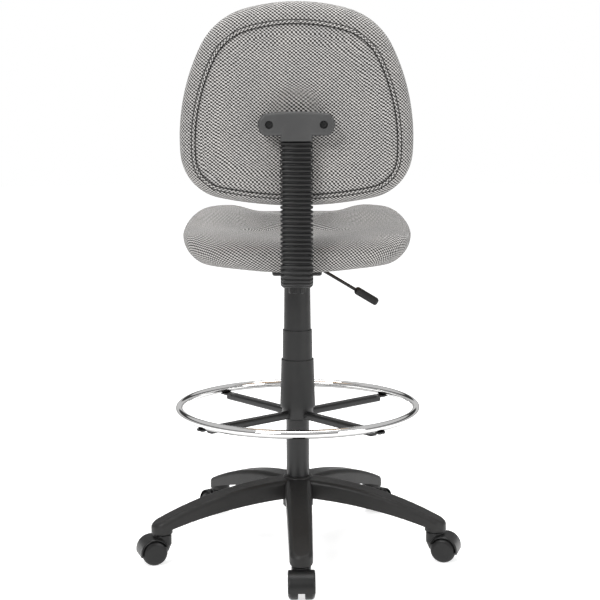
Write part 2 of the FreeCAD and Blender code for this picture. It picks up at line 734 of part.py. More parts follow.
def rod_and_bearing():
    """Piston rod, the bearing that it turns on, and the clip below the column's floor."""
    foot, floor = dim.column_foot, dim.column_foot + dim.foot_plate
    bearing_top = floor + 6
    neck = dim.rod_rad - 1
    top = dim.piston_low + 10
    piston = dim.gas_rad - dim.gas_wall - dim.slide_gap
    node(revolved("thrust_bearing", (
        (neck + dim.slide_gap, floor), (11, floor), (11, bearing_top), (neck + dim.slide_gap, bearing_top))),
        "thrust_bearing")
    node(revolved("piston_rod", (
        (0, foot - 5), (neck, foot - 5), (neck, bearing_top), (dim.rod_rad, bearing_top),
        (dim.rod_rad, dim.piston_low), (piston, dim.piston_low), (piston, top), (0, top))),
        "piston_rod")
    node(revolved("column_clip", (
        (neck, foot - 2.8), (neck + 4, foot - 2.8), (neck + 4, foot - 0.3), (neck, foot - 0.3))),
        "column_clip")


def gas_cylinder():
    """Pressure tube, gland below, valve block above, and the cone that carries the seat."""
    outer, inner = dim.gas_rad, dim.gas_rad - dim.gas_wall
    gland, low = dim.gas_low + 20, dim.gas_low
    valve_low, valve_top = dim.gas_cone - 10, dim.gas_cone + 20
    pin, bore = dim.pin_rad + dim.slide_gap, dim.rod_rad + dim.slide_gap
    node(revolved("gas_cylinder", (
        (bore, low), (outer - 1.5, low), (outer, low + 2), (outer, dim.gas_cone),
        (dim.cone_rad, dim.gas_top), (pin, dim.gas_top), (pin, valve_top), (0, valve_top),
        (0, valve_low), (inner, valve_low), (inner, gland), (bore, gland))), "gas_cylinder")
    node(cylinder("release_pin", dim.pin_rad, dim.pin_top - 30, dim.pin_top), "release_pin")


def cover_sleeves():
    wall = dim.sleeve_wall
    node(tube("sleeve_lower", dim.lower_sleeve_rad + 3, dim.lower_sleeve_rad,
              dim.lower_sleeve_low, dim.lower_sleeve_top, wall + 0.3), "sleeve_lower")
    node(tube("sleeve_middle", dim.middle_sleeve_rad + 1.25, dim.middle_sleeve_rad,
              dim.middle_sleeve_low, dim.middle_sleeve_top, wall - 0.1), "sleeve_middle")
    top, low, radius = dim.upper_sleeve_top, dim.upper_sleeve_low, dim.upper_sleeve_rad
    node(revolved("sleeve_upper", (
        (radius + 2 - wall, low), (radius + 2, low), (radius, top - 1), (radius - 1, top),
        (dim.gas_rad, top), (dim.gas_rad, top - 3), (radius - wall, top - 3))), "sleeve_upper")


# ---------------------------------------------------------------- foot ring

def spoke_turn(index):
    return Rotation(Vector(0, 0, 1), float(dim.spoke_turn) + index * 90)


def ring_screw_spots():
    return [spoke_turn(k).multVec(Vector(float(dim.ring_rad), 0, 0)) for k in range(QUARTERS)]


def screw_tip():
    """Upper end of the screws that hold the ring to its spokes."""
    return dim.ring_height + 2


def footring():
    ring = doc.addObject("Part::Torus", "ring_tube")
    bind(ring, "Radius1", dim.ring_rad)
    bind(ring, "Radius2", dim.ring_tube)
    place(ring, z=dim.ring_height)
    low, high = dim.ring_height - 2 * dim.ring_tube, screw_tip()
    holes = [cylinder("ring_hole_%d" % k, dim.ring_screw_rad, low, high, (spot.x, spot.y))
             for k, spot in enumerate(ring_screw_spots())]
    node(cut("footring", ring, *holes), "footring")


def footring_collar():
    low, top = dim.collar_low, dim.lower_sleeve_low
    outer, inner = dim.collar_rad, dim.column_rad
    flange, flange_low = outer + 3.5, top - 3
    body = revolved("collar_turned", (
        (inner, low), (outer - 1.5, low), (outer, low + 1.5), (outer, flange_low), (flange, flange_low),
        (flange, top), (inner, top)))
    radius, spot = dim.set_screw_rad, (0, low + dim.set_screw_rise)
    pockets = [cylinder("set_screw_hole_%d" % k, radius, *span, spot, "X")
               for k, span in enumerate(((inner - 5, outer + 5), (-outer - 5, -inner + 5)))]
    node(cut("footring_collar", body, *pockets), "footring_collar")
    screws = [cylinder("set_screw_%d" % k, radius, *span, spot, "X")
              for k, span in enumerate(((inner, outer - 0.5), (-outer + 0.5, -inner)))]
    node(group("collar_set_screws", screws), "collar_set_screws")


def footring_spoke(index):
    """Flattened tube from the collar, with a flat tab that lies under the ring."""
    name = "footring_spoke_%d" % (index + 1)
    ring_floor = dim.ring_height - dim.ring_tube
    tube_end = dim.ring_rad - dim.ring_tube - 9
    half, tab_half, tab_low = dim.spoke_width / 2, dim.tab_width / 2, ring_floor - dim.tab_plate
    bar = box(name + "_bar", (dim.column_rad + 5, tube_end), (-half, half),
              (dim.spoke_low, dim.spoke_low + dim.spoke_height))
    bar_round = rounded(name + "_round", bar, 5, lambda edge: edge.Length > 100)
    collar = cylinder(name + "_collar", dim.collar_rad, 0, FAR)
    slope = box(name + "_slope", (0, FAR / 4), (-half - 5, half + 5), (-FAR / 4, 0))
    rise = math.degrees(math.atan2(tab_low - dim.spoke_low, dim.tip_slope))
    slope_start = Vector(float(tube_end - dim.tip_slope), -float(half + 5), float(dim.spoke_low))
    slope.Placement = Placement(slope_start, Rotation(Vector(0, 1, 0), -rise))
    trimmed = cut(name + "_trimmed", bar_round, collar, slope)
    tab = box(name + "_tab", (tube_end - 15, dim.ring_rad), (-tab_half, tab_half), (tab_low, ring_floor))
    tab_end = cylinder(name + "_tab_end", tab_half, tab_low, ring_floor, (dim.ring_rad, 0))
    hole = cylinder(name + "_hole", dim.ring_screw_rad, dim.spoke_low, dim.ring_height, (dim.ring_rad, 0))
    ring = doc.addObject("Part::Torus", name + "_seat")
    bind(ring, "Radius1", dim.ring_rad)
    bind(ring, "Radius2", dim.ring_tube)
    place(ring, z=dim.ring_height)
    spoke = cut(name, fuse(name + "_solid", trimmed, tab, tab_end), hole, ring)
    spoke.Placement = Placement(Vector(), spoke_turn(index))
    node(spoke, name)


def footring_screws():
    """Four pan-head screws from below, through the tabs into the ring."""
    head_top = dim.ring_height - dim.ring_tube - dim.tab_plate
    head_low = head_top - 3
    screws = []

    def lower_rim(edge):
        return abs(middle(edge).z - head_low) < 0.6
    for k, spot in enumerate(ring_screw_spots()):
        at = (spot.x, spot.y)
        head = cylinder("ring_screw_head_%d" % k, dim.screw_head_rad, head_low, head_top, at)
        domed = rounded("ring_screw_dome_%d" % k, head, 1.8, lower_rim)
        shank = cylinder("ring_screw_shank_%d" % k, dim.ring_screw_rad, head_top, screw_tip(), at)
        screws.append(fuse("ring_screw_%d" % k, domed, shank))
    node(group("footring_screws", screws), "footring_screws")


# ---------------------------------------------------------------- seat carrier

def pressed_pan(name, half, low):
    """An open-topped box of sheet metal with rounded corners, as wide as half on each side."""
    top, skin, front, rear = dim.board_low, dim.pan_sheet, dim.pan_front, dim.pan_rear

    def corner(edge):
        return edge.Length < 60 or middle(edge).z < low + 5
    outside = rounded(name + "_round", box(name, (-half, half), (front, rear), (low, top)), 5, corner)
    hollow = box(name + "_inside", (skin - half, half - skin), (front + skin, rear - skin),
                 (low + skin, top + 20))
    return outside, rounded(name + "_inside_round", hollow, 3, corner)


def seat_mechanism():
    """Pressed pan with a hub for the gas cone, a channel for the back bar, and bolt flanges."""
    low, top, skin, half = dim.pan_low, dim.board_low, dim.pan_sheet, dim.pan_half
    front, rear = dim.pan_front, dim.pan_rear
    tray, tray_hollow = pressed_pan("tray", half, dim.pan_step)
    keel, keel_hollow = pressed_pan("keel", dim.keel_half, low)
    shell = cut("pan_shell", fuse("pan_outside", tray, keel), tray_hollow, keel_hollow)
    flange = box("flange", (-dim.flange_reach, dim.flange_reach), (front, rear - 30), (top - skin, top))
    flange_round = rounded("flange_round", flange, 12, lambda edge: edge.Length < 3)
    window = box("flange_window", (skin - half, half - skin), (front + 15, rear), (top - 5, top + 5))
    frame = cut("flange_frame", flange_round, window)
    hub = cylinder("pan_hub", dim.pan_hub_rad, low - 8, dim.gas_top)
    bar_low = dim.bar_level - dim.bar_plate / 2 - dim.slide_gap
    bar_high = dim.bar_level + dim.bar_plate / 2 + dim.slide_gap
    bar_half = dim.bar_width / 2 + dim.slide_gap
    guide_half = bar_half + dim.guide_wall
    guide = box("bar_guide", (-guide_half, guide_half), (dim.guide_front, rear), (low + 1, top))
    lug_across = (dim.lever_pivot_x - 6, dim.lever_pivot_x + 6)
    lugs = [box("pivot_lug_%d" % k, lug_across, lug_depth, (dim.pan_step + 1, top - 1))
            for k, lug_depth in enumerate(((6, 9), (-9, -6)))]
    solid = fuse("mechanism_solid", shell, frame, hub, guide, *lugs)

    cone = doc.addObject("Part::Cone", "cone_seat")
    bind(cone, "Radius1", dim.gas_rad)
    bind(cone, "Radius2", dim.cone_rad)
    bind(cone, "Height", dim.gas_top - dim.gas_cone)
    place(cone, z=dim.gas_cone)
    channel = box("bar_channel", (-bar_half, bar_half), (dim.bar_front, rear + 20), (bar_low, bar_high))
    relief = box("board_relief", (-bar_half, bar_half), (dim.bar_front, rear - 20), (bar_high + 4, top + 5))
    stud_hole = cylinder("stud_hole", dim.stud_rad + dim.slide_gap, low - 5, dim.bar_level, (0, dim.knob_y))
    lever_slot = box("lever_slot", (-half - 5, 2 - dim.keel_half), (-5, 5), (dim.pan_step - 5, top - 4))
    pivot_hole = cylinder("pivot_hole", dim.pivot_rad + dim.slide_gap, -12, 12,
                          (dim.lever_pivot_x, pivot_height()), "Y")
    bolt_holes = [cylinder("flange_hole_%d" % k, dim.bolt_rad, top - 10, top + 5, spot)
                  for k, spot in enumerate(bolt_spots())]
    node(cut("seat_mechanism", solid, cone, channel, relief, stud_hole, lever_slot, pivot_hole, *bolt_holes),
         "seat_mechanism")


def pivot_height():
    """Height of the lever's pivot pin."""
    return dim.lever_height - 2


def bolt_spots():
    return [(x, y) for x in (-dim.bolt_across, dim.bolt_across) for y in (dim.bolt_front, dim.bolt_rear)]


def seat_bolts():
    """Four hexagon-head bolts through the flanges into the seat board."""
    head_top = dim.board_low - dim.pan_sheet
    bolts = []
    for k, (x, y) in enumerate(bolt_spots()):
        head = doc.addObject("Part::Prism", "bolt_head_%d" % k)
        head.Polygon = 6
        bind(head, "Circumradius", 5.6)
        bind(head, "Height", 4)
        place(head, x, y, head_top - 4)
        shank = cylinder("bolt_shank_%d" % k, dim.bolt_rad, head_top, dim.board_low + 10, (x, y))
        bolts.append(fuse("bolt_%d" % k, head, shank))
    node(group("seat_bolts", bolts), "seat_bolts")


SEAT_RADII = (742, 95, 687, 110)
SEAT_TURNS = (12, 66, 20, 62, 20)


def outline_pad(body, name, arcs, low, thickness):
    """Pad a smooth outline, drawn on the level plane, from the height low."""
    sketch = new_sketch(body, name + "_outline", "XY_Plane", low)
    sketch.addGeometry(arcs, False)
    pad = body.newObject("PartDesign::Pad", name)
    pad.Profile = sketch
    bind(pad, "Length", thickness)
    return pad


def seat_board():
    body = new_body("board_blank")
    arcs = smooth_outline(SEAT_RADII, SEAT_TURNS, dim.seat_rear, float(dim.seat_inset))
    outline_pad(body, "board_plate", arcs, dim.board_low, dim.board_plate)
    holes = [cylinder("board_hole_%d" % k, dim.bolt_rad, dim.board_low - 5, dim.board_low + 10, spot)
             for k, spot in enumerate(bolt_spots())]
    low, high = dim.board_low - 5, dim.board_low + 11
    arm_holes = [cylinder("armrest_hole_%d" % k, dim.arm_hole_rad, low, high, spot)
                 for k, spot in enumerate(armrest_spots())]
    node(cut("seat_board", body, *holes, *arm_holes), "seat_board")


def armrest_spots():
    return [(x, y) for x in (-dim.arm_hole_across, dim.arm_hole_across)
            for y in (dim.arm_hole_front, dim.arm_hole_front + dim.arm_hole_pitch)]


def seat_cushion():
    """Foam and cover as one soft block; the board lies in a recess from below."""
    body = new_body("seat_cushion")
    arcs = smooth_outline(SEAT_RADII, SEAT_TURNS, dim.seat_rear)
    pad = outline_pad(body, "cushion_block", arcs, dim.seat_low, dim.seat_high - dim.seat_low)
    doc.recompute()
    for name, height, radius in (("cushion_crown", dim.seat_high, dim.seat_crown),
                                 ("cushion_under", dim.seat_low, dim.seat_under)):
        base = body.Tip
        edges = ["Edge%d" % k for k, edge in enumerate(base.Shape.Edges, 1)
                 if abs(middle(edge).z - height) < 0.1]
        fillet = body.newObject("PartDesign::Fillet", name)
        fillet.Base = (base, edges)
        bind(fillet, "Radius", radius)
        doc.recompute()
    sketch = new_sketch(body, "board_recess_outline", "XY_Plane", dim.board_low + dim.board_plate)
    recess = smooth_outline(SEAT_RADII, SEAT_TURNS, dim.seat_rear, float(dim.seat_inset))
    sketch.addGeometry(recess, False)
    before = pad.Shape.Volume
    pocket = body.newObject("PartDesign::Pocket", "board_recess")
    pocket.Profile = sketch
    bind(pocket, "Length", dim.board_plate + 10)
    check_volume(body, before * 0.6, before * 0.95)
    node(body, "seat_cushion")


# ---------------------------------------------------------------- lever

def lever():
    """Rod that presses the release pin, and its handle; both turn about a pin along Y."""
    bend_x = dim.lever_pivot_x + 5
    rod_rad, height = dim.lever_rad, dim.lever_height
    inner = cylinder("lever_inner", rod_rad, bend_x, dim.lever_reach, (0, height), "X")
    knee = doc.addObject("Part::Sphere", "lever_knee")
    bind(knee, "Radius", rod_rad)
    place(knee, bend_x, 0, height)
    fall = Rotation(Vector(0, 1, 0), -90 - float(dim.lever_slope))
    outer = doc.addObject("Part::Cylinder", "lever_outer")
    bind(outer, "Radius", rod_rad)
    bind(outer, "Height", dim.lever_run)
    place(outer, bend_x, 0, height, fall)
    spot = (dim.lever_pivot_x, pivot_height())
    eye = cylinder("lever_eye", dim.lever_eye, -5.5, 5.5, spot, "Y")
    pin = cylinder("lever_pin", dim.pivot_rad, -9, 9, spot, "Y")
    node(fuse("lever_rod", inner, knee, outer, eye, pin), "lever_rod")

    slope = math.radians(dim.lever_slope)
    along = Vector(-math.cos(slope), 0, -math.sin(slope))
    width, length, depth = dim.handle_width, dim.handle_length, dim.handle_depth
    start = Vector(float(bend_x), 0, float(height)) + along * float(dim.lever_run - length + 8)
    paddle = doc.addObject("Part::Box", "handle_block")
    bind(paddle, "Length", width)
    bind(paddle, "Width", depth)
    bind(paddle, "Height", length)
    corner = start + fall.multVec(Vector(float(-width / 2), float(-depth / 2), 0))
    paddle.Placement = Placement(corner, fall)
    doc.recompute()
    soft = rounded("handle_round", paddle, dim.handle_round, lambda edge: True)
    bore = doc.addObject("Part::Cylinder", "handle_bore")
    bind(bore, "Radius", rod_rad)
    bind(bore, "Height", length - 8)
    bore.Placement = Placement(start, fall)
    node(cut("lever_handle", soft, bore), "lever_handle")


# ---------------------------------------------------------------- back bar, boot, knob

def bent_sweep(name, width, depth, front, top):
    """A rectangular section swept along the bar's centre line: level, a bend, then upright."""
    level, back, bend = (float(dim.bar_level), float(dim.bar_back), float(dim.bar_bend))
    corner = Vector(0, back - bend, level + bend)
    slant = Vector(0, math.sin(math.pi / 4), -math.cos(math.pi / 4)) * bend
    start, bend_in = Vector(0, float(front), level), Vector(0, back - bend, level)
    bend_out, end = Vector(0, back, level + bend), Vector(0, back, float(top))
    path = doc.addObject("Part::Feature", name + "_path")
    path.Shape = Part.Wire([
        Part.LineSegment(start, bend_in).toShape(),
        Part.Arc(bend_in, corner + slant, bend_out).toShape(),
        Part.LineSegment(bend_out, end).toShape()])
    section = doc.addObject("Sketcher::SketchObject", name + "_section")
    draw_polygon(section, ((-width / 2, -depth / 2), (width / 2, -depth / 2),
                           (width / 2, depth / 2), (-width / 2, depth / 2)))
    section.Placement = Placement(start, Rotation(Vector(1, 0, 0), 90))
    sweep = doc.addObject("Part::Sweep", name)
    sweep.Sections = [section]
    sweep.Spine = (path, ["Edge1", "Edge2", "Edge3"])
    sweep.Solid = True
    return sweep


def back_bar():
    bar = bent_sweep("bar_sweep", dim.bar_width, dim.bar_plate, dim.bar_front, dim.bar_top)
    node(rounded("back_bar", bar, 1, lambda edge: edge.Length > 150), "back_bar")


def bellows_boot():
    """Soft boot around the bar, as a plain sleeve of the same outer size."""
    outer = bent_sweep("boot_outer", dim.boot_width, dim.boot_depth, dim.boot_front, dim.boot_top)
    inner = bent_sweep("boot_inner", dim.bar_width + 4, dim.bar_plate + 6,
                       dim.boot_front - 5, dim.boot_top + 5)
    node(cut("bellows_boot", outer, inner), "bellows_boot")


def depth_knob():
    """Lobed hand knob whose stud clamps the bar from below."""
    low, high, radius, lobes = dim.knob_low, dim.knob_low + dim.knob_plate, dim.knob_rad, 7
    head = rounded("knob_round", cylinder("knob_head", radius, low, high, (0, dim.knob_y)), 2.5,
                   lambda edge: edge.Length > 90)
    shoulder = cylinder("knob_shoulder", 9, high, dim.pan_low - 0.5, (0, dim.knob_y))
    bar_floor = dim.bar_level - dim.bar_plate / 2
    stud = cylinder("knob_stud", dim.stud_rad, high, bar_floor - 0.1, (0, dim.knob_y))
    grooves = []
    for k in range(lobes):
        angle = 2 * math.pi * k / lobes
        spot = (math.cos(angle) * (radius + 3.5), dim.knob_y + math.sin(angle) * (radius + 3.5))
        grooves.append(cylinder("knob_groove_%d" % k, 6, low - 1, high + 1, spot))
    node(cut("depth_knob", fuse("knob_solid", head, shoulder, stud), *grooves), "depth_knob")


# ---------------------------------------------------------------- backrest

BACK_RADII = (390, 139, 400, 96)
BACK_TURNS = (15, 48, 31, 75, 11)


def back_layer(name, inner_depth, outer_depth, inset=0, drop=0):
    """A curved slab: the backrest's outline, cut between two depths in front of the rear face."""
    sketch = doc.addObject("Sketcher::SketchObject", name + "_outline")
    outline = smooth_outline(BACK_RADII, BACK_TURNS, dim.back_top - drop, float(inset))
    sketch.addGeometry(outline, False)
    place(sketch, y=-FAR, rotation=Rotation(Vector(1, 0, 0), 90))
    block = doc.addObject("Part::Extrusion", name + "_block")
    block.Base = sketch
    block.DirMode = "Custom"
    block.Dir = Vector(0, 1, 0)
    block.LengthFwd = 2 * FAR
    block.Solid = True
    axis = (0, dim.back_rear - dim.back_curve)
    outer = cylinder(name + "_outer", dim.back_curve - outer_depth, 0, 3 * FAR, axis)
    inner = cylinder(name + "_inner", dim.back_curve - inner_depth, -5, 3 * FAR + 5, axis)
    return common(name, block, cut(name + "_shell", outer, inner))


def screw_sides():
    return (-dim.screw_across, dim.screw_across)


def backrest():
    """Rear panel, board, and the cushion that wraps round the board."""
    board_rear = dim.panel_plate
    board_front = dim.panel_plate + dim.board_plate
    screw_ways = [cylinder("board_screw_%d" % k, dim.back_screw_rad, 200, 260, (x, dim.screw_height), "Y")
                  for k, x in enumerate(screw_sides())]
    panel = back_layer("panel_curved", board_rear, 0, dim.panel_inset, dim.panel_drop)
    node(cut("panel_drilled", panel, *screw_ways), "back_rear_panel")
    board = back_layer("board_curved", board_front, board_rear, dim.back_board_inset, dim.back_board_drop)
    node(cut("board_drilled", board, *screw_ways), "back_board")
    cushion = back_layer("cushion_slab", dim.back_thick, dim.cushion_lip)
    pocket = back_layer("cushion_pocket", board_front, -5, dim.back_board_inset, dim.back_board_drop)
    node(cut("back_cushion", cushion, pocket), "back_cushion")


def bracket_outline():
    """T-shaped outline: an arched head with round ends over a short neck."""
    half, low, neck, foot = (float(v) for v in (
        dim.bracket_half, dim.bracket_low, dim.neck_half, dim.boot_top))
    top, arch, end_round = float(dim.bracket_top), float(dim.bracket_arch), float(dim.bracket_end)
    arch_centre = top - arch
    end_x = half - end_round
    shoulder = arch_centre + math.sqrt(arch ** 2 - end_x ** 2)
    end_y = (shoulder + low) / 2
    points = [Vector(x, y, 0) for x, y in (
        (-neck, foot), (neck, foot), (neck, low), (end_x, low), (half, end_y), (end_x, shoulder),
        (0, top), (-end_x, shoulder), (-half, end_y), (-end_x, low), (-neck, low))]
    line, arc = Part.LineSegment, Part.Arc
    return [
        line(points[0], points[1]), line(points[1], points[2]), line(points[2], points[3]),
        arc(points[3], points[4], points[5]), arc(points[5], points[6], points[7]),
        arc(points[7], points[8], points[9]), line(points[9], points[10]), line(points[10], points[0])]


def back_bracket():
    """Plastic bracket that carries the backrest and slides on the bar."""
    body = new_body("bracket_body")
    sketch = new_sketch(body, "bracket_outline", "XZ_Plane", -dim.bracket_rear)
    sketch.addGeometry(bracket_outline(), False)
    pad = body.newObject("PartDesign::Pad", "bracket_block")
    pad.Profile = sketch
    bind(pad, "Length", dim.bracket_rear - dim.back_rear + 8)
    doc.recompute()
    fillet = body.newObject("PartDesign::Fillet", "bracket_rounding")

    def rear_edge(spot):
        return abs(spot.y - dim.bracket_rear) < 0.1 and spot.z > dim.boot_top + 1
    edges = enumerate(pad.Shape.Edges, start=1)
    fillet.Base = (pad, ["Edge%d" % k for k, edge in edges if rear_edge(middle(edge))])
    bind(fillet, "Radius", dim.bracket_round)
    axis = (0, dim.back_rear - dim.back_curve)
    panel_face = cylinder("bracket_seat", dim.back_curve, 600, 1200, axis)
    half_width, half_depth = dim.bar_width / 2 + dim.slide_gap, dim.bar_plate / 2 + dim.slide_gap
    slot = box("bracket_slot", (-half_width, half_width),
               (dim.bar_back - half_depth, dim.bar_back + half_depth), (dim.boot_top - 10, dim.bar_top + 0.5))
    rear, recess_floor = dim.bracket_rear, dim.bracket_rear - dim.recess_depth
    recesses, holes = [], []
    for k, x in enumerate(screw_sides()):
        at = (x, dim.screw_height)
        recesses.append(cylinder("bracket_recess_%d" % k, dim.recess_rad, recess_floor, rear + 10, at, "Y"))
        holes.append(cylinder("bracket_hole_%d" % k, dim.back_screw_rad, dim.back_rear - 20, rear, at, "Y"))
    node(cut("back_bracket", body, panel_face, slot, *recesses, *holes), "back_bracket")


def back_screws():
    """Two screws at the bottom of the bracket's recesses, through the panel into the board."""
    screws = []
    seat = dim.bracket_rear - dim.recess_depth
    for k, x in enumerate(screw_sides()):
        at = (x, dim.screw_height)
        head = cylinder("back_screw_head_%d" % k, dim.screw_head_rad, seat, seat + 4, at, "Y")
        socket = doc.addObject("Part::Prism", "back_screw_socket_%d" % k)
        socket.Polygon = 6
        bind(socket, "Circumradius", 2.9)
        bind(socket, "Height", 6)
        place(socket, x, seat + 1.5, dim.screw_height, AXIS_TURN["Y"])
        shank = cylinder("back_screw_shank_%d" % k, dim.back_screw_rad, dim.back_rear - 14, seat, at, "Y")
        screws.append(cut("back_screw_%d" % k, fuse("back_screw_solid_%d" % k, head, shank), socket))
    node(group("back_screws", screws), "back_screws")


# ---------------------------------------------------------------- build, check, write

def build():
    star_base()
    hub_insert()
    caster_sockets()
    for index in range(ARMS):
        caster_hood(index)
        caster_stem(index)
        caster_axle(index)
        caster_wheel(index, 1, "left")
        caster_wheel(index, -1, "right")
    outer_column()
    column_guide()
    rod_and_bearing()
    gas_cylinder()
    cover_sleeves()
    footring()
    footring_collar()
    for index in range(QUARTERS):
        footring_spoke(index)
    footring_screws()
    seat_mechanism()
    seat_bolts()
    seat_board()
    seat_cushion()
    lever()
    back_bar()
    bellows_boot()
    depth_knob()
    backrest()
    back_bracket()
    back_screws()
    doc.recompute()


def check():
    """Stop on any failed object, and on any sub-part without a good solid shape."""
    for item in doc.Objects:
        if "Invalid" in item.State or "Error" in item.State:
            raise ValueError("%s (%s) failed: %s" % (item.Name, item.Label, item.State))
    for item in nodes:
        shape = item.Shape
        if shape.isNull() or not shape.isValid() or not shape.Solids or shape.Volume <= 0:
            raise ValueError("%s has a bad shape" % item.Label)


def write():
    os.makedirs("parts", exist_ok=True)
    for item in nodes:
        item.Shape.exportStep("parts/%s.step" % item.Label)
        print("%-24s %d solid(s) %12.1f mm3" % (item.Label, len(item.Shape.Solids), item.Shape.Volume))


build()
check()
write()
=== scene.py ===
import json
import math

import bpy
import bmesh
import numpy as np
from mathutils import Euler, Matrix, Vector


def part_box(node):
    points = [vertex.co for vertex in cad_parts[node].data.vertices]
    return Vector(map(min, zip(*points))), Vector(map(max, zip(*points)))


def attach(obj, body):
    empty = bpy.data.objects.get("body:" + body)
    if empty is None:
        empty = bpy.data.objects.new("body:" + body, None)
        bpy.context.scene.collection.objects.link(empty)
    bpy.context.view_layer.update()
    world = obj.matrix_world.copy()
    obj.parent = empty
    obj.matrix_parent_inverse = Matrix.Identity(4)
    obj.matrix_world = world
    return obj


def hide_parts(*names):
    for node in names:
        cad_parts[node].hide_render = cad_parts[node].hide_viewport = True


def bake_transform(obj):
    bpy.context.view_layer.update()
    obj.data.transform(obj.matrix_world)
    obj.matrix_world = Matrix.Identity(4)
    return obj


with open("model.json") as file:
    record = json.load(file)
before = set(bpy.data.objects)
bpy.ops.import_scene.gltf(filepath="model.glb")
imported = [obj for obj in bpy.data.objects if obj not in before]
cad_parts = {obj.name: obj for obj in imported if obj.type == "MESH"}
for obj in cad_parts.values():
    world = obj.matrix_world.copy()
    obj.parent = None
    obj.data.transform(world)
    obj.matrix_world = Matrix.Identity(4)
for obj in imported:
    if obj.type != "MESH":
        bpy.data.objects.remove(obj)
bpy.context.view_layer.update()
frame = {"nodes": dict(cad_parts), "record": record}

CAMERA_SPOT = (-0.0058, 2.9, 0.960)
CAMERA_LENS = 81.9       # millimetres
CAMERA_SENSOR = 36
CAMERA_FALL = 8.1        # degrees below level
CAMERA_ROLL = -0.2       # degrees

FLOOR_RADIUS = 14
FLOOR_DROP = 0.0005      # keeps the floor clear of the wheels
FLOOR_GREY = 0.7
FLOOR_GLOW = 0.70

SKY_STRENGTH = 0.62
# brightness of the surroundings at shares of their height, from level to straight up
SKY_STOPS = ((0.03, 0.9), (0.05, 0.2), (0.07, 0.2), (0.09, 0.95), (0.24, 0.95), (0.28, 0.08),
             (0.42, 0.08), (0.47, 0.95))
SKY_LEVEL, SKY_TOP = 0.9, 1.0

LAMP_TARGET = (0, 0, 0.6)
# name, place, size in metres, power in watts
LAMPS = (("key", (1.7, 3.0, 2.9), 1.5, 94),
         ("fill", (-2.6, 2.2, 1.5), 1.6, 34),
         ("top", (0, -0.3, 3.4), 2.2, 86))


# ---------------------------------------------------------------- camera, floor and light

def make_camera():
    """From behind the chair, a little above the seat."""
    data = bpy.data.cameras.new("camera")
    data.lens = CAMERA_LENS
    data.sensor_width = CAMERA_SENSOR
    camera = bpy.data.objects.new("camera", data)
    bpy.context.collection.objects.link(camera)
    pitch, roll = math.radians(90 - CAMERA_FALL), math.radians(CAMERA_ROLL)
    tilt = Euler((pitch, 0, 0)).to_matrix() @ Euler((0, 0, roll)).to_matrix()
    about = Matrix.Rotation(math.pi, 4, "Z")
    camera.matrix_world = Matrix.Translation(CAMERA_SPOT) @ about @ tilt.to_4x4()
    bpy.context.scene.camera = camera


def disk_light(name, place, size, power):
    """Soft round lamp that faces the chair."""
    data = bpy.data.lights.new(name, "AREA")
    data.shape = "DISK"
    data.size = size
    data.energy = power
    light = bpy.data.objects.new(name, data)
    bpy.context.collection.objects.link(light)
    light.location = place
    facing = Vector(LAMP_TARGET) - Vector(place)
    light.rotation_euler = facing.to_track_quat("-Z", "Y").to_euler()


def make_floor():
    mesh = bpy.data.meshes.new("floor")
    form = bmesh.new()
    bmesh.ops.create_circle(form, cap_ends=True, segments=96, radius=FLOOR_RADIUS)
    form.to_mesh(mesh)
    form.free()
    floor = bpy.data.objects.new("floor", mesh)
    bpy.context.collection.objects.link(floor)
    floor.location.z = -FLOOR_DROP
    paint = bpy.data.materials.new("floor")
    paint.use_nodes = True
    shader = paint.node_tree.nodes["Principled BSDF"]
    shader.inputs["Base Color"].default_value = (FLOOR_GREY, FLOOR_GREY, FLOOR_GREY, 1)
    shader.inputs["Roughness"].default_value = 0.9
    shader.inputs["Specular IOR Level"].default_value = 0.1
    shader.inputs["Emission Color"].default_value = (1, 1, 1, 1)
    shader.inputs["Emission Strength"].default_value = FLOOR_GLOW
    mesh.materials.append(paint)


def make_surroundings():
    """A bright room with two dark bands for the chrome to mirror; the camera sees plain white."""
    world = bpy.data.worlds.new("studio")
    world.use_nodes = True
    bpy.context.scene.world = world
    tree = world.node_tree
    sky = tree.nodes["Background"]
    sky.inputs["Strength"].default_value = SKY_STRENGTH
    place = tree.nodes.new("ShaderNodeTexCoord")
    split = tree.nodes.new("ShaderNodeSeparateXYZ")
    ramp = tree.nodes.new("ShaderNodeValToRGB")
    stops = ramp.color_ramp.elements
    stops[0].position, stops[0].color = 0.0, (SKY_LEVEL, SKY_LEVEL, SKY_LEVEL, 1)
    stops[1].position, stops[1].color = 1.0, (SKY_TOP, SKY_TOP, SKY_TOP, 1)
    for share, level in SKY_STOPS:
        stops.new(share).color = (level, level, level, 1)
    tree.links.new(place.outputs["Generated"], split.inputs[0])
    tree.links.new(split.outputs["Z"], ramp.inputs[0])
    tree.links.new(ramp.outputs["Color"], sky.inputs["Color"])
    plain = tree.nodes.new("ShaderNodeBackground")
    plain.inputs["Color"].default_value = (1, 1, 1, 1)
    rays = tree.nodes.new("ShaderNodeLightPath")
    mix = tree.nodes.new("ShaderNodeMixShader")
    tree.links.new(rays.outputs["Is Camera Ray"], mix.inputs[0])
    tree.links.new(sky.outputs[0], mix.inputs[1])
    tree.links.new(plain.outputs[0], mix.inputs[2])
    tree.links.new(mix.outputs[0], tree.nodes["World Output"].inputs["Surface"])


def make_studio():
    """Pale floor, bright surroundings and three soft lights."""
    make_floor()
    make_surroundings()
    for lamp in LAMPS:
        disk_light(*lamp)
    bpy.context.scene.view_settings.view_transform = "Standard"


# ---------------------------------------------------------------- materials

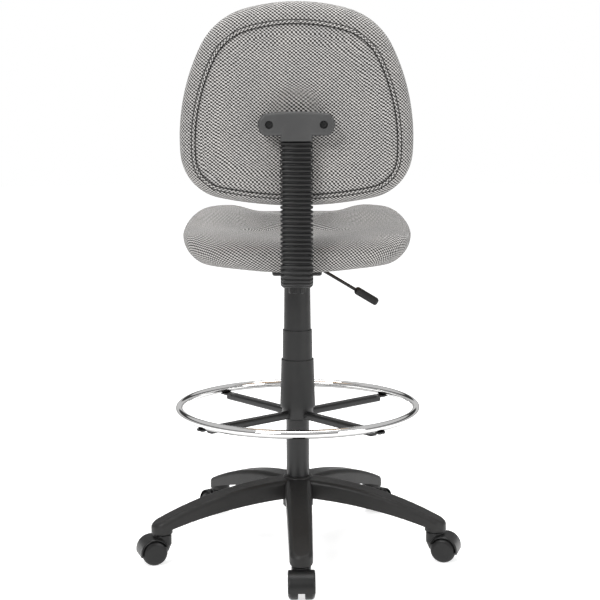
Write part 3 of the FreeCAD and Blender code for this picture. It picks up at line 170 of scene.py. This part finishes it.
class Paint:
    """A node material with a few short ways to add and join nodes."""

    def __init__(self, name):
        self.material = bpy.data.materials.new(name)
        self.material.use_nodes = True
        self.tree = self.material.node_tree
        self.shader = self.tree.nodes["Principled BSDF"]

    def add(self, kind, **inputs):
        node = self.tree.nodes.new("ShaderNode" + kind)
        for key, value in inputs.items():
            self.feed(node.inputs[key.replace("_", " ")], value)
        return node

    def feed(self, socket, value):
        """Link a node output, or set a plain value."""
        if isinstance(value, bpy.types.NodeSocket):
            self.tree.links.new(value, socket)
        else:
            socket.default_value = value

    def math(self, operation, *values):
        node = self.tree.nodes.new("ShaderNodeMath")
        node.operation = operation
        for socket, value in zip(node.inputs, values):
            self.feed(socket, value)
        return node.outputs[0]

    def mix(self, share, first, second):
        node = self.tree.nodes.new("ShaderNodeMix")
        node.data_type = "RGBA"
        self.feed(node.inputs[0], share)
        self.feed(node.inputs[6], first)
        self.feed(node.inputs[7], second)
        return node.outputs[2]

    def span(self, value, low, high, to_low, to_high, smooth=False):
        node = self.tree.nodes.new("ShaderNodeMapRange")
        if smooth:
            node.interpolation_type = "SMOOTHSTEP"
        for socket, item in zip(node.inputs, (value, low, high, to_low, to_high)):
            self.feed(socket, item)
        return node.outputs[0]

    def noise(self, where, scale, detail, rough):
        node = self.add("TexNoise", Vector=where, Scale=scale, Detail=detail, Roughness=rough)
        return node.outputs[0]

    def object_place(self):
        return self.add("TexCoord").outputs["Object"]

    def bump(self, height, distance, strength):
        return self.add("Bump", Height=height, Distance=distance, Strength=strength).outputs[0]

    def set(self, **inputs):
        """Link node outputs to the shader."""
        for key, value in inputs.items():
            self.feed(self.shader.inputs[key.replace("_", " ")], value)

    def fix(self, **values):
        """Set plain values of the shader."""
        for key, value in values.items():
            self.shader.inputs[key.replace("_", " ")].default_value = value


def grey(level, warm=0.0):
    return (level * (1 + warm), level, level * (1 - warm), 1)


# depth of the fine relief, in metres
PEBBLE_HEIGHT, PEEL_HEIGHT, METAL_HEIGHT, GRAIN_HEIGHT = 0.00012, 0.00008, 0.00001, 0.0002
PLY_PAIR = 0.003         # thickness of two plies, a pale one and a dark one


def moulded_plastic(name, level, rough, warm=0.0, shine=0.32):
    """Grained black plastic: fine pebble bump, slight colour drift, dust in the grain."""
    paint = Paint(name)
    where = paint.object_place()
    drift = paint.noise(where, scale=9, detail=4, rough=0.6)
    pebble = paint.noise(where, scale=1500, detail=2, rough=0.6)
    scuffs = paint.noise(where, scale=60, detail=6, rough=0.75)
    base = paint.mix(paint.span(drift, 0.3, 0.7, 0, 1),
                     grey(level * 0.86, warm), grey(level * 1.14, warm))
    dust = paint.math("MULTIPLY", paint.span(scuffs, 0.55, 0.8, 0, 0.35),
                      paint.span(pebble, 0.4, 0.7, 0.4, 1))
    paint.set(Base_Color=paint.mix(dust, base, grey(level * 1.9, warm)),
              Roughness=paint.span(scuffs, 0.25, 0.8, rough - 0.06, rough + 0.1),
              Normal=paint.bump(pebble, PEBBLE_HEIGHT, 0.8))
    paint.fix(Specular_IOR_Level=shine)
    return paint.material


def painted_steel(name, level, rough):
    """Powder coat: soft orange-peel bump."""
    paint = Paint(name)
    where = paint.object_place()
    peel = paint.noise(where, scale=700, detail=2, rough=0.5)
    drift = paint.noise(where, scale=14, detail=4, rough=0.6)
    base = paint.mix(paint.span(drift, 0.3, 0.7, 0, 1), grey(level * 0.85), grey(level * 1.2))
    paint.set(Base_Color=base, Roughness=paint.span(drift, 0.2, 0.8, rough - 0.05, rough + 0.08),
              Normal=paint.bump(peel, PEEL_HEIGHT, 0.7))
    paint.fix(Specular_IOR_Level=0.35, Coat_Weight=0.12, Coat_Roughness=0.35)
    return paint.material


def bare_metal(name, level, rough):
    """Turned or plated metal: smears in the roughness and a faint fine bump."""
    paint = Paint(name)
    where = paint.object_place()
    smears = paint.noise(where, scale=35, detail=5, rough=0.7)
    lines = paint.noise(where, scale=900, detail=2, rough=0.5)
    base = paint.mix(paint.span(smears, 0.3, 0.7, 0, 1), grey(level * 0.95), grey(level, 0.01))
    paint.set(Base_Color=base, Roughness=paint.span(smears, 0.3, 0.75, rough, rough * 1.8 + 0.02),
              Normal=paint.bump(lines, METAL_HEIGHT, 0.25))
    paint.fix(Metallic=1.0)
    return paint.material


def chrome(name, node):
    """Bright plate with faint smears, and painted shade: the colour darkens towards the underside of the
    tube.
    """
    paint = Paint(name)
    low, high = (corner.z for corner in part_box(node))
    where = paint.object_place()
    height = paint.add("SeparateXYZ", Vector=where).outputs["Z"]
    smears = paint.noise(where, scale=35, detail=5, rough=0.7)
    # painted shade: from about half the tube's height down to its underside the plate's colour goes dark
    # grey
    shade_below = low + (high - low) * 0.04
    lit_above = low + (high - low) * 0.55
    lit_share = paint.span(height, shade_below, lit_above, 0, 1, smooth=True)
    bright = paint.mix(smears, grey(0.80), grey(0.88, 0.01))
    lines = paint.noise(where, scale=400, detail=2, rough=0.5)
    # the painted shade on the underside is mixed into the plate's colour here
    paint.set(Base_Color=paint.mix(lit_share, grey(0.22), bright),
              Roughness=paint.span(smears, 0.3, 0.75, 0.025, 0.07),
              Normal=paint.bump(lines, METAL_HEIGHT, 0.25))
    paint.fix(Metallic=1.0)
    return paint.material


def plywood(name):
    """Birch ply: stretched grain with darker plies on the edges."""
    paint = Paint(name)
    where = paint.object_place()
    stretch = paint.add("Mapping", Vector=where, Scale=(4, 60, 4)).outputs[0]
    grain = paint.noise(stretch, scale=6, detail=6, rough=0.6)
    split = paint.add("SeparateXYZ", Vector=where)
    plies = paint.math("SINE", paint.math("MULTIPLY", split.outputs["Z"], 2 * math.pi / PLY_PAIR))
    wood = paint.mix(grain, (0.62, 0.44, 0.26, 1), (0.42, 0.27, 0.14, 1))
    paint.set(Base_Color=paint.mix(paint.span(plies, -1, 1, 0, 0.25), wood, (0.3, 0.18, 0.09, 1)),
              Roughness=paint.span(grain, 0.3, 0.7, 0.55, 0.75),
              Normal=paint.bump(grain, GRAIN_HEIGHT, 0.5))
    return paint.material


WEAVE_ACROSS = 123.0     # cycles per metre of the tweed, across the cloth
WEAVE_ALONG = 154.0      # and along it
WEAVE_LEAN = 0.9         # radians by which the lines waver
WEAVE_HEIGHT = 0.0006
WEAVE_STEEP, WEAVE_SHALLOW = 0.57, 0.43      # weights of the two sets of lines
WEAVE_EDGE = (-0.36, 0.50)                   # level where dark ground turns to pale yarn
YARN_PALE, YARN_DARK = 0.44, 0.009
YARN_UNEVEN, FIBRE_UNEVEN = 0.55, 0.35
# how dark the painted shade in the seam's groove gets
SEAM_PAINTED_SHADE = 0.85


def tweed(name):
    """Bird's-eye tweed: two sets of slanted yarn lines that cross in pale dots on a dark ground.

    The cloth's own coordinates come with each mesh in the attribute "weave", in metres; its third
    value, 0 to 1, is how much painted shade the cloth takes where it dips into a seam.
    """
    paint = Paint(name)
    cloth = paint.add("Attribute")
    cloth.attribute_name = "weave"
    split = paint.add("SeparateXYZ", Vector=cloth.outputs["Vector"])
    where = paint.add("CombineXYZ", X=split.outputs["X"], Y=split.outputs["Y"]).outputs[0]
    waver = paint.noise(where, scale=55, detail=3, rough=0.55)
    lean = paint.math("MULTIPLY", paint.math("SUBTRACT", waver, 0.5), WEAVE_LEAN)
    across = paint.math("MULTIPLY", split.outputs["X"], 2 * math.pi * WEAVE_ACROSS)
    along = paint.math("MULTIPLY", split.outputs["Y"], 2 * math.pi * WEAVE_ALONG)
    along = paint.math("ADD", along, lean)
    steep = paint.math("COSINE", paint.math("SUBTRACT", across, along))
    shallow = paint.math("COSINE", paint.math("ADD", across, along))
    dots = paint.math("ADD", paint.math("MULTIPLY", steep, WEAVE_STEEP),
                      paint.math("MULTIPLY", shallow, WEAVE_SHALLOW))
    fibre = paint.noise(where, scale=1400, detail=3, rough=0.7)
    yarn = paint.noise(where, scale=230, detail=2, rough=0.6)
    level = dots
    for noise, amount in ((yarn, YARN_UNEVEN), (fibre, FIBRE_UNEVEN)):
        uneven = paint.math("MULTIPLY", paint.math("SUBTRACT", noise, 0.5), amount)
        level = paint.math("ADD", level, uneven)
    share = paint.span(level, *WEAVE_EDGE, 0, 1, smooth=True)
    patch = paint.span(paint.noise(where, scale=16, detail=3, rough=0.6), 0.3, 0.7, 0, 1)
    pale = paint.mix(patch, grey(YARN_PALE * 0.93, 0.02), grey(YARN_PALE * 1.05, 0.035))
    deep = paint.mix(yarn, grey(YARN_DARK, 0.06), grey(YARN_DARK * 2.6, 0.05))
    height = paint.math("ADD", dots, paint.math("MULTIPLY", fibre, 0.5))
    # painted shade in the seam's groove, from the third value of the cloth coordinates
    seam = paint.math("MULTIPLY", split.outputs["Z"], SEAM_PAINTED_SHADE)
    # the painted seam shade darkens the cloth's colour
    colour = paint.mix(seam, paint.mix(share, deep, pale), grey(YARN_DARK * 0.8))
    paint.set(Base_Color=colour, Roughness=paint.span(fibre, 0.3, 0.7, 0.82, 0.96),
              Normal=paint.bump(height, WEAVE_HEIGHT, 0.75))
    paint.fix(Sheen_Weight=0.12, Sheen_Roughness=0.5, Specular_IOR_Level=0.25)
    return paint.material


def make_materials():
    return {
        "base_plastic": moulded_plastic("base_plastic", 0.021, 0.36, warm=0.02, shine=0.2),
        "hub_steel": bare_metal("hub_steel", 0.5, 0.35),
        "caster_plastic": moulded_plastic("caster_plastic", 0.009, 0.36),
        "wheel_plastic": moulded_plastic("wheel_plastic", 0.008, 0.36),
        "bright_steel": bare_metal("bright_steel", 0.62, 0.22),
        "column_paint": painted_steel("column_paint", 0.007, 0.34),
        "guide_plastic": moulded_plastic("guide_plastic", 0.09, 0.5),
        "sleeve_plastic": moulded_plastic("sleeve_plastic", 0.014, 0.42),
        "ring_chrome": chrome("ring_chrome", "footring"),
        "spoke_paint": painted_steel("spoke_paint", 0.009, 0.36),
        "screw_black": painted_steel("screw_black", 0.012, 0.4),
        "mechanism_paint": painted_steel("mechanism_paint", 0.008, 0.42),
        "handle_plastic": moulded_plastic("handle_plastic", 0.010, 0.42),
        "plywood": plywood("plywood"),
        "seat_fabric": tweed("seat_fabric"),
        "back_fabric": tweed("back_fabric"),
        "boot_plastic": moulded_plastic("boot_plastic", 0.011, 0.34),
        "bracket_plastic": moulded_plastic("bracket_plastic", 0.046, 0.42),
    }


def dress_cad(paints):
    """Give every CAD node that stays the detailed material of its slot."""
    slots = {part["node"]: part["material_slot"] for part in frame["record"]["subparts"]}
    for name, item in frame["nodes"].items():
        for slot in item.material_slots:
            slot.material = paints[slots[name]]


# ---------------------------------------------------------------- mesh helpers

def add_piece(name, mesh, paint, body, slot, *replaced):
    """A smooth visible piece; body is None for one that is attached to no body."""
    piece = bpy.data.objects.new(name, mesh)
    bpy.context.collection.objects.link(piece)
    mesh.materials.append(paint)
    for face in mesh.polygons:
        face.use_smooth = True
    if body:
        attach(piece, body)
    if replaced:
        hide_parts(*replaced)
    return piece


def skin_rings(name, rings, wrap=False):
    """Closed mesh through equal rings of points; the ends are poles, or join up when wrap is set."""
    count = len(rings[0])
    points, faces = [], []
    for ring in rings:
        points.extend(ring)

    def join(a, b):
        for k in range(count):
            after = (k + 1) % count
            faces.append((a * count + k, a * count + after, b * count + after, b * count + k))

    last = len(rings) - 1
    for a in range(last):
        join(a, a + 1)
    if wrap:
        join(last, 0)
    else:
        for ring in (0, last):
            pole = len(points)
            points.append(sum((Vector(p) for p in rings[ring]), Vector()) / count)
            for k in range(count):
                corners = (ring * count + k, ring * count + (k + 1) % count, pole)
                faces.append(corners[::-1] if ring else corners)
    mesh = bpy.data.meshes.new(name)
    mesh.from_pydata([tuple(p) for p in points], [], faces)
    form = bmesh.new()
    form.from_mesh(mesh)
    bmesh.ops.recalc_face_normals(form, faces=form.faces)
    form.to_mesh(mesh)
    form.free()
    return mesh


def smooth_outline(radii, turns, start, count):
    """Points and outward normals of a closed outline of arcs, the same left and right.

    The half outline starts at (0, start), heads right and turns clockwise; its last arc closes it.
    """
    arcs, heading, spot = [], 0.0, np.array([0.0, start])
    for k, turn in enumerate(turns):
        angle = math.radians(turn)
        radius = radii[k] if k < len(radii) else spot[0] / math.sin(angle)
        centre = spot - radius * np.array([math.sin(heading), math.cos(heading)])
        arcs.append((centre, radius, heading, angle))
        heading += angle
        spot = centre + radius * np.array([math.sin(heading), math.cos(heading)])
    total = sum(radius * angle for _, radius, _, angle in arcs)
    half = count // 2
    points, normals = [], []
    for k in range(half + 1):
        left = total * k / half
        for centre, radius, first, angle in arcs:
            if left <= radius * angle + 1e-9:
                break
            left -= radius * angle
        here = first + left / radius
        normal = np.array([math.sin(here), math.cos(here)])
        points.append(centre + radius * normal)
        normals.append(normal)
    mirror = np.array([-1, 1])
    points += [p * mirror for p in points[half - 1:0:-1]]
    normals += [n * mirror for n in normals[half - 1:0:-1]]
    return np.array(points), np.array(normals)


def store_weave(mesh, places):
    """Keep the cloth's own coordinates with the mesh."""
    data = mesh.attributes.new("weave", "FLOAT_VECTOR", "POINT")
    data.data.foreach_set("vector", np.asarray(places, dtype=float).ravel())


def subdivide(piece):
    modifier = piece.modifiers.new("smooth", "SUBSURF")
    modifier.levels = modifier.render_levels = 1


def ease(value):
    """Smooth step from 0 to 1."""
    value = min(max(value, 0.0), 1.0)
    return value * value * (3 - 2 * value)


def rounded_edge(share, across, up):
    """Reach and rise of a pillow edge; share runs from 0 at the middle to 1 at the waist."""
    angle = math.pi / 2 * share
    return math.sin(angle) ** (2 / across), max(math.cos(angle), 0.0) ** (2 / up)


# ---------------------------------------------------------------- seat cushion

SEAT_RADII = (0.742, 0.095, 0.687, 0.110)
SEAT_TURNS = (12, 66, 20, 62, 20)
SEAT_POINTS = 192
SEAT_WAIST = 0.058       # height of the widest line above the seat's underside
WAIST_DROP = 0.024       # how much lower that line runs behind
SEAT_TOP_RINGS, SEAT_SIDE_RINGS = 26, 14
# exponents of the edge, across and up, and what they lose towards the rear
SEAT_FULL, SEAT_FULL_LOST = (8.0, 2.5), (4.4, 0.4)
SEAT_REAR = 0.077        # height of the rear of the top above the underside
FRONT_RISE, FRONT_START, FRONT_RUN = 0.019, 0.055, 0.13
BOLSTER, BOLSTER_SPOT, BOLSTER_SPREAD = 0.018, (0.172, -0.10), (0.066, 0.11)
DISH, DISH_BACK, DISH_SPREAD = 0.012, 0.06, (0.15, 0.11)
NOSE, NOSE_START, NOSE_RUN = 0.012, -0.15, 0.09
REAR_START, REAR_RUN = 0.2, 0.7              # how far an outline point faces backwards
SIDE_START, SIDE_RUN = 0.03, 0.18            # distance from the middle
TUCK, TUCK_AT_SIDE = 0.018, 0.037            # how far the cloth turns in under the seat
SAG, RISE_AT_SIDE = 0.0025, 0.0065
# where the cloth wraps the board: inset from the outline, the board's face, height over that face
BOARD_WRAP = ((0.0655, "low", -0.0005), (0.0665, "low", 0.0008), (0.0668, "high", 0.0005),
              (0.085, "high", 0.0006))
BOARD_CORE = 0.3         # last ring on the board, as a share of the outline
seat_low, seat_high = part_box("seat_cushion")
board_low, board_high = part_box("seat_board")


def seat_top(x, y):
    """Height of the sitting surface: a dish behind, a raised front with two thigh bolsters."""
    front = ease((FRONT_START - y) / FRONT_RUN)
    over_thigh = math.exp(-((abs(x) - BOLSTER_SPOT[0]) / BOLSTER_SPREAD[0]) ** 4)
    bolster = over_thigh * math.exp(-((y - BOLSTER_SPOT[1]) / BOLSTER_SPREAD[1]) ** 2)
    dish = DISH * math.exp(-(x / DISH_SPREAD[0]) ** 2 - ((y - DISH_BACK) / DISH_SPREAD[1]) ** 2)
    nose = NOSE * ease((NOSE_START - y) / NOSE_RUN)
    return seat_low.z + SEAT_REAR + FRONT_RISE * front + BOLSTER * bolster - dish - nose


def lay_cloth(rings, normals, waist_ring):
    """Cloth coordinates for every ring point: the true length of the surface, laid out flat.

    Above the waist the cloth keeps its own place, and what the slope adds is pushed outwards; below
    it the cloth goes on outwards from the waist, although the surface turns in.
    """
    places = []
    for column, normal in enumerate(normals):
        push, line = 0.0, []
        before = rings[0][column]
        for k, ring in enumerate(rings):
            here = ring[column]
            step = here - before
            level = math.hypot(step.x, step.y)
            push += step.length - level if k <= waist_ring else step.length
            base = here if k <= waist_ring else rings[waist_ring][column]
            line.append((base.x + normal[0] * push, -(base.y + normal[1] * push), 0))
            before = here
        places.append(line)
    return [places[column][k] for k in range(len(rings)) for column in range(len(normals))]


def make_seat(paint):
    """Seat cover: top, rolled edge, tuck under the edge and wrap round the board."""
    outline, normals = smooth_outline(SEAT_RADII, SEAT_TURNS, seat_high.y, SEAT_POINTS)
    centre = np.array([0.0, (seat_low.y + seat_high.y) / 2])
    behind = [ease((normal[1] - REAR_START) / REAR_RUN) for normal in normals]
    waists = [seat_low.z + SEAT_WAIST - WAIST_DROP * share for share in behind]
    rings = []
    for k in range(1, SEAT_TOP_RINGS + 1):
        ring = []
        for point, waist, share in zip(outline, waists, behind):
            across, up = (full - lost * share for full, lost in zip(SEAT_FULL, SEAT_FULL_LOST))
            reach, rise = rounded_edge(k / SEAT_TOP_RINGS, across, up)
            x, y = centre + (point - centre) * reach
            ring.append(Vector((x, y, waist + (seat_top(x, y) - waist) * rise)))
        rings.append(ring)
    for k in range(1, SEAT_SIDE_RINGS + 1):
        angle = math.pi / 2 * k / SEAT_SIDE_RINGS
        ring = []
        for point, normal, waist in zip(outline, normals, waists):
            side = ease((abs(point[0]) - SIDE_START) / SIDE_RUN)
            inset = (TUCK + TUCK_AT_SIDE * side) * (1 - math.cos(angle))
            floor = seat_low.z - SAG + RISE_AT_SIDE * side
            flat = point - normal * inset
            ring.append(Vector((flat[0], flat[1], waist - (waist - floor) * math.sin(angle))))
        rings.append(ring)
    faces = {"low": board_low.z, "high": board_high.z}
    for inset, face, gap in BOARD_WRAP:
        rings.append([Vector((p[0], p[1], faces[face] + gap)) for p in outline - normals * inset])
    core = centre + (outline - centre) * BOARD_CORE
    rings.append([Vector((p[0], p[1], rings[-1][0].z)) for p in core])
    mesh = skin_rings("seat_cover", rings)
    piece = add_piece("seat_cover", mesh, paint, "seat_frame", "seat_fabric", "seat_cushion")
    places = lay_cloth(rings, normals, SEAT_TOP_RINGS - 1)
    store_weave(mesh, places + [(centre[0], -centre[1], 0)] * 2)
    subdivide(piece)


# ---------------------------------------------------------------- backrest

BACK_RADII = (0.390, 0.139, 0.400, 0.096)
BACK_TURNS = (15, 48, 31, 75, 11)
BACK_POINTS = 192
BACK_CURVE = 0.900       # radius of the rear face, seen from above
BACK_WAIST, BACK_FRONT = 0.034, 0.071        # depth of the widest line and of the front face
BACK_FRONT_RINGS, BACK_WRAP_RINGS = 24, 14
BACK_FULL = (4.5, 2.2)   # exponents of the edge, across and up
LUMBAR, LUMBAR_HEIGHT, LUMBAR_SPREAD = 0.012, 0.13, 0.09
SEAM_INSET, SEAM_SHIFT = 0.030, -0.011       # the seam lies inside the outline and a little lower
WRAP_END = (0.0075, 0.0022)                  # end of the wrapped side: gap to the seam, depth
WRAP_LENGTH = 0.8                            # its length as a share of its width and depth together
# the cloth going down beside the welt: gap to the seam, depth, painted shade in the seam
WRAP_DIP = ((0.0058, 0.0019, 0.0), (0.0042, 0.0024, 0.75), (0.0030, 0.0034, 1.0))
# its hidden edge under the rear panel: inset from the seam, depth
WRAP_HIDDEN = ((0.001, 0.0056), (0.006, 0.0058), (0.05, 0.0058))
PANEL_REACHES = (0.30, 0.55, 0.75, 0.86)     # flat rings of the panel, as shares of the seam
# the panel's edge: inset from the seam, depth, painted shade in the seam
PANEL_EDGE = ((0.016, 0.0002, 0.0), (0.010, 0.0006, 0.0), (0.0062, 0.0013, 0.1), (0.0045, 0.0022, 0.8),
              (0.0032, 0.0034, 1.0), (0.0024, 0.0050, 1.0), (0.0030, 0.0059, 1.0), (0.09, 0.0059, 1.0))
WELT_RADIUS, WELT_SIDES, WELT_DEPTH = 0.0028, 12, 0.0012
back_low, back_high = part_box("back_cushion")
rear_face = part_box("back_rear_panel")[1].y


def back_spot(x, z, depth):
    """A point of the curved backrest, depth metres in front of its rear face."""
    axis = rear_face - BACK_CURVE
    return Vector((x, axis + math.sqrt((BACK_CURVE - depth) ** 2 - x * x), z))


def back_ring(flat, depth):
    """A ring of the outline's points, all at one depth."""
    return [back_spot(p[0], p[1], depth) for p in flat]


def make_back(paint, outline, normals, seam, centre):
    """Backrest cover: front face, rolled edge and the side wrapped round to the seam behind."""
    rings, places = [], []

    def add_ring(flat, depths, drops, shade=0.0):
        """The ring's points, and their cloth places pushed outwards by drops."""
        rings.append([back_spot(p[0], p[1], d) for p, d in zip(flat, depths)])
        places.extend((p[0] + n[0] * s, p[1] + n[1] * s, shade) for p, n, s in zip(flat, normals, drops))

    for k in range(1, BACK_FRONT_RINGS + 1):
        reach, rise = rounded_edge(k / BACK_FRONT_RINGS, *BACK_FULL)
        flat = centre + (outline - centre) * reach
        lumbar = [LUMBAR * math.exp(-((p[1] - back_low.z - LUMBAR_HEIGHT) / LUMBAR_SPREAD) ** 2)
                  for p in flat]
        depths = [BACK_WAIST + (BACK_FRONT + bulge - BACK_WAIST) * rise for bulge in lumbar]
        add_ring(flat, depths, [(BACK_FRONT - d) * ease(reach * 8 - 7) for d in depths])

    end_gap, end_depth = WRAP_END
    widths = np.linalg.norm(outline - seam, axis=1)
    for k in range(1, BACK_WRAP_RINGS + 1):
        angle = math.pi / 2 * k / BACK_WRAP_RINGS
        share = 1 - math.cos(angle)
        flat = outline + (seam + normals * end_gap - outline) * share
        depth = BACK_WAIST - (BACK_WAIST - end_depth) * math.sin(angle)
        drops = [(w + BACK_WAIST) * WRAP_LENGTH * (1 - k / BACK_WRAP_RINGS) - w * (1 - share)
                 for w in widths]
        add_ring(flat, [depth] * len(flat), drops)

    # the rings along the seam carry painted shade for the tweed
    edge = list(WRAP_DIP) + [(-inset, depth, 1.0) for inset, depth in WRAP_HIDDEN]
    for gap, depth, shade in edge:
        add_ring(seam + normals * gap, [depth] * len(seam), [0] * len(seam), shade)
    mesh = skin_rings("back_cover", rings)
    piece = add_piece("back_cover", mesh, paint, "backrest", "back_fabric", "back_cushion")
    store_weave(mesh, places + [(0, centre[1], 0)] * 2)
    subdivide(piece)


def make_panel(paint, normals, seam, centre):
    """Padded rear panel: flat in the middle, dipping into the seam along its edge."""
    rings = [back_ring(centre + (seam - centre) * reach, 0.0) for reach in PANEL_REACHES]
    rings += [back_ring(seam - normals * inset, depth) for inset, depth, _ in PANEL_EDGE]
    mesh = skin_rings("rear_panel", rings)
    piece = add_piece("rear_panel", mesh, paint, "backrest", "back_fabric", "back_rear_panel")
    # painted shade in the seam, stored with the cloth coordinates for the tweed to darken
    ring_shades = [0.0] * len(PANEL_REACHES) + [shade for *_, shade in PANEL_EDGE]
    shades = [shade for shade in ring_shades for _ in seam] + [0.0, 1.0]
    store_weave(mesh, [(v.co.x, v.co.z, shade) for v, shade in zip(mesh.vertices, shades)])
    subdivide(piece)


def make_welt(paint, normals, seam):
    """Piping sewn into the seam between the panel and the wrapped side."""
    rings, places, length = [], [], 0.0
    for k, (here, normal) in enumerate(zip(seam, normals)):
        length += float(np.linalg.norm(here - seam[k - 1]))
        ring = []
        for side in range(WELT_SIDES):
            angle = 2 * math.pi * side / WELT_SIDES
            flat = here + normal * WELT_RADIUS * math.cos(angle)
            ring.append(back_spot(flat[0], flat[1], WELT_DEPTH - WELT_RADIUS * math.sin(angle)))
            places.append((length, WELT_RADIUS * angle, 0))
        rings.append(ring)
    mesh = skin_rings("welt", rings, wrap=True)
    piece = add_piece("welt", mesh, paint, "backrest", "back_fabric")
    store_weave(mesh, places)
    subdivide(piece)


def make_backrest(paint):
    """Cover, rear panel and welt, which share one seam."""
    outline, normals = smooth_outline(BACK_RADII, BACK_TURNS, back_high.z, BACK_POINTS)
    seam = outline - normals * SEAM_INSET + np.array([0, SEAM_SHIFT])
    centre = np.array([0.0, (back_low.z + back_high.z) / 2])
    make_back(paint, outline, normals, seam, centre)
    make_panel(paint, normals, seam, centre)
    make_welt(paint, normals, seam)


# ---------------------------------------------------------------- bellows boot

RIB_PITCH, RIB_DEPTH = 0.0089, 0.0040
# one rib along the boot: share of the pitch, share of the height
RIB_PROFILE = ((0.0, 0.0), (0.11, 0.0), (0.20, 0.55), (0.30, 0.95), (0.42, 1.0), (0.55, 1.0),
               (0.67, 0.95), (0.79, 0.55), (0.90, 0.0))
BOOT_HALF_DEPTH, BOOT_BEND, BOOT_CHAMFER = 0.013, 0.040, 0.0062
BORE_SPARE, BORE_HALF_DEPTH, BORE_CHAMFER, BORE_STEPS = 0.001, 0.0045, 0.001, 40


def oblong(wide, deep, chamfer):
    """Outline of an oblong of these half sizes, with cut corners of three points each."""
    corners = []
    for sx, sy in ((1, 1), (-1, 1), (-1, -1), (1, -1)):
        turn = [(wide - chamfer, deep), (wide - chamfer * 0.35, deep - chamfer * 0.45),
                (wide, deep - chamfer)]
        turn = [(x * sx, y * sy) for x, y in turn]
        corners.extend(turn if sx * sy < 0 else turn[::-1])
    return corners


def make_boot(paint):
    """Ribbed boot down the upright bar and round its bend."""
    low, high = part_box("bellows_boot")
    bar_half_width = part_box("back_bar")[1].x
    half_width = (high.x - low.x) / 2
    level, upright = low.z + BOOT_HALF_DEPTH, high.y - BOOT_HALF_DEPTH
    drop, level_run = high.z - (level + BOOT_BEND), (upright - BOOT_BEND) - low.y
    bend_length = BOOT_BEND * math.pi / 2
    total = drop + bend_length + level_run

    def along(distance):
        """Centre and outward direction of the boot, measured down from its top."""
        if distance < drop:
            return Vector((0, upright, high.z - distance)), Vector((0, 1, 0))
        if distance < drop + bend_length:
            angle = (distance - drop) / BOOT_BEND
            out = Vector((0, math.cos(angle), -math.sin(angle)))
            return Vector((0, upright - BOOT_BEND, level + BOOT_BEND)) + out * BOOT_BEND, out
        run = distance - drop - bend_length
        return Vector((0, upright - BOOT_BEND - run, level)), Vector((0, 0, -1))

    def ring(distance, section):
        centre, out = along(distance)
        return [centre + Vector((x, 0, 0)) + out * y for x, y in section]

    def rib_ring(distance, inset):
        return ring(distance, oblong(half_width - inset, BOOT_HALF_DEPTH - inset, BOOT_CHAMFER))

    ribs = round(total / RIB_PITCH)
    outer = [rib_ring(total * (rib + share) / ribs, RIB_DEPTH * (1 - crest))
             for rib in range(ribs) for share, crest in RIB_PROFILE]
    outer.append(rib_ring(total, RIB_DEPTH))
    bore = oblong(bar_half_width + BORE_SPARE, BORE_HALF_DEPTH, BORE_CHAMFER)
    inner = [ring(total * (1 - step / BORE_STEPS), bore) for step in range(BORE_STEPS + 1)]
    mesh = skin_rings("boot", outer + inner, wrap=True)
    piece = add_piece("boot", mesh, paint, None, "boot_plastic", "bellows_boot")
    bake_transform(piece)


# ---------------------------------------------------------------- build

make_camera()
make_studio()
paints = make_materials()
dress_cad(paints)
make_seat(paints["seat_fabric"])
make_backrest(paints["back_fabric"])
make_boot(paints["boot_plastic"])
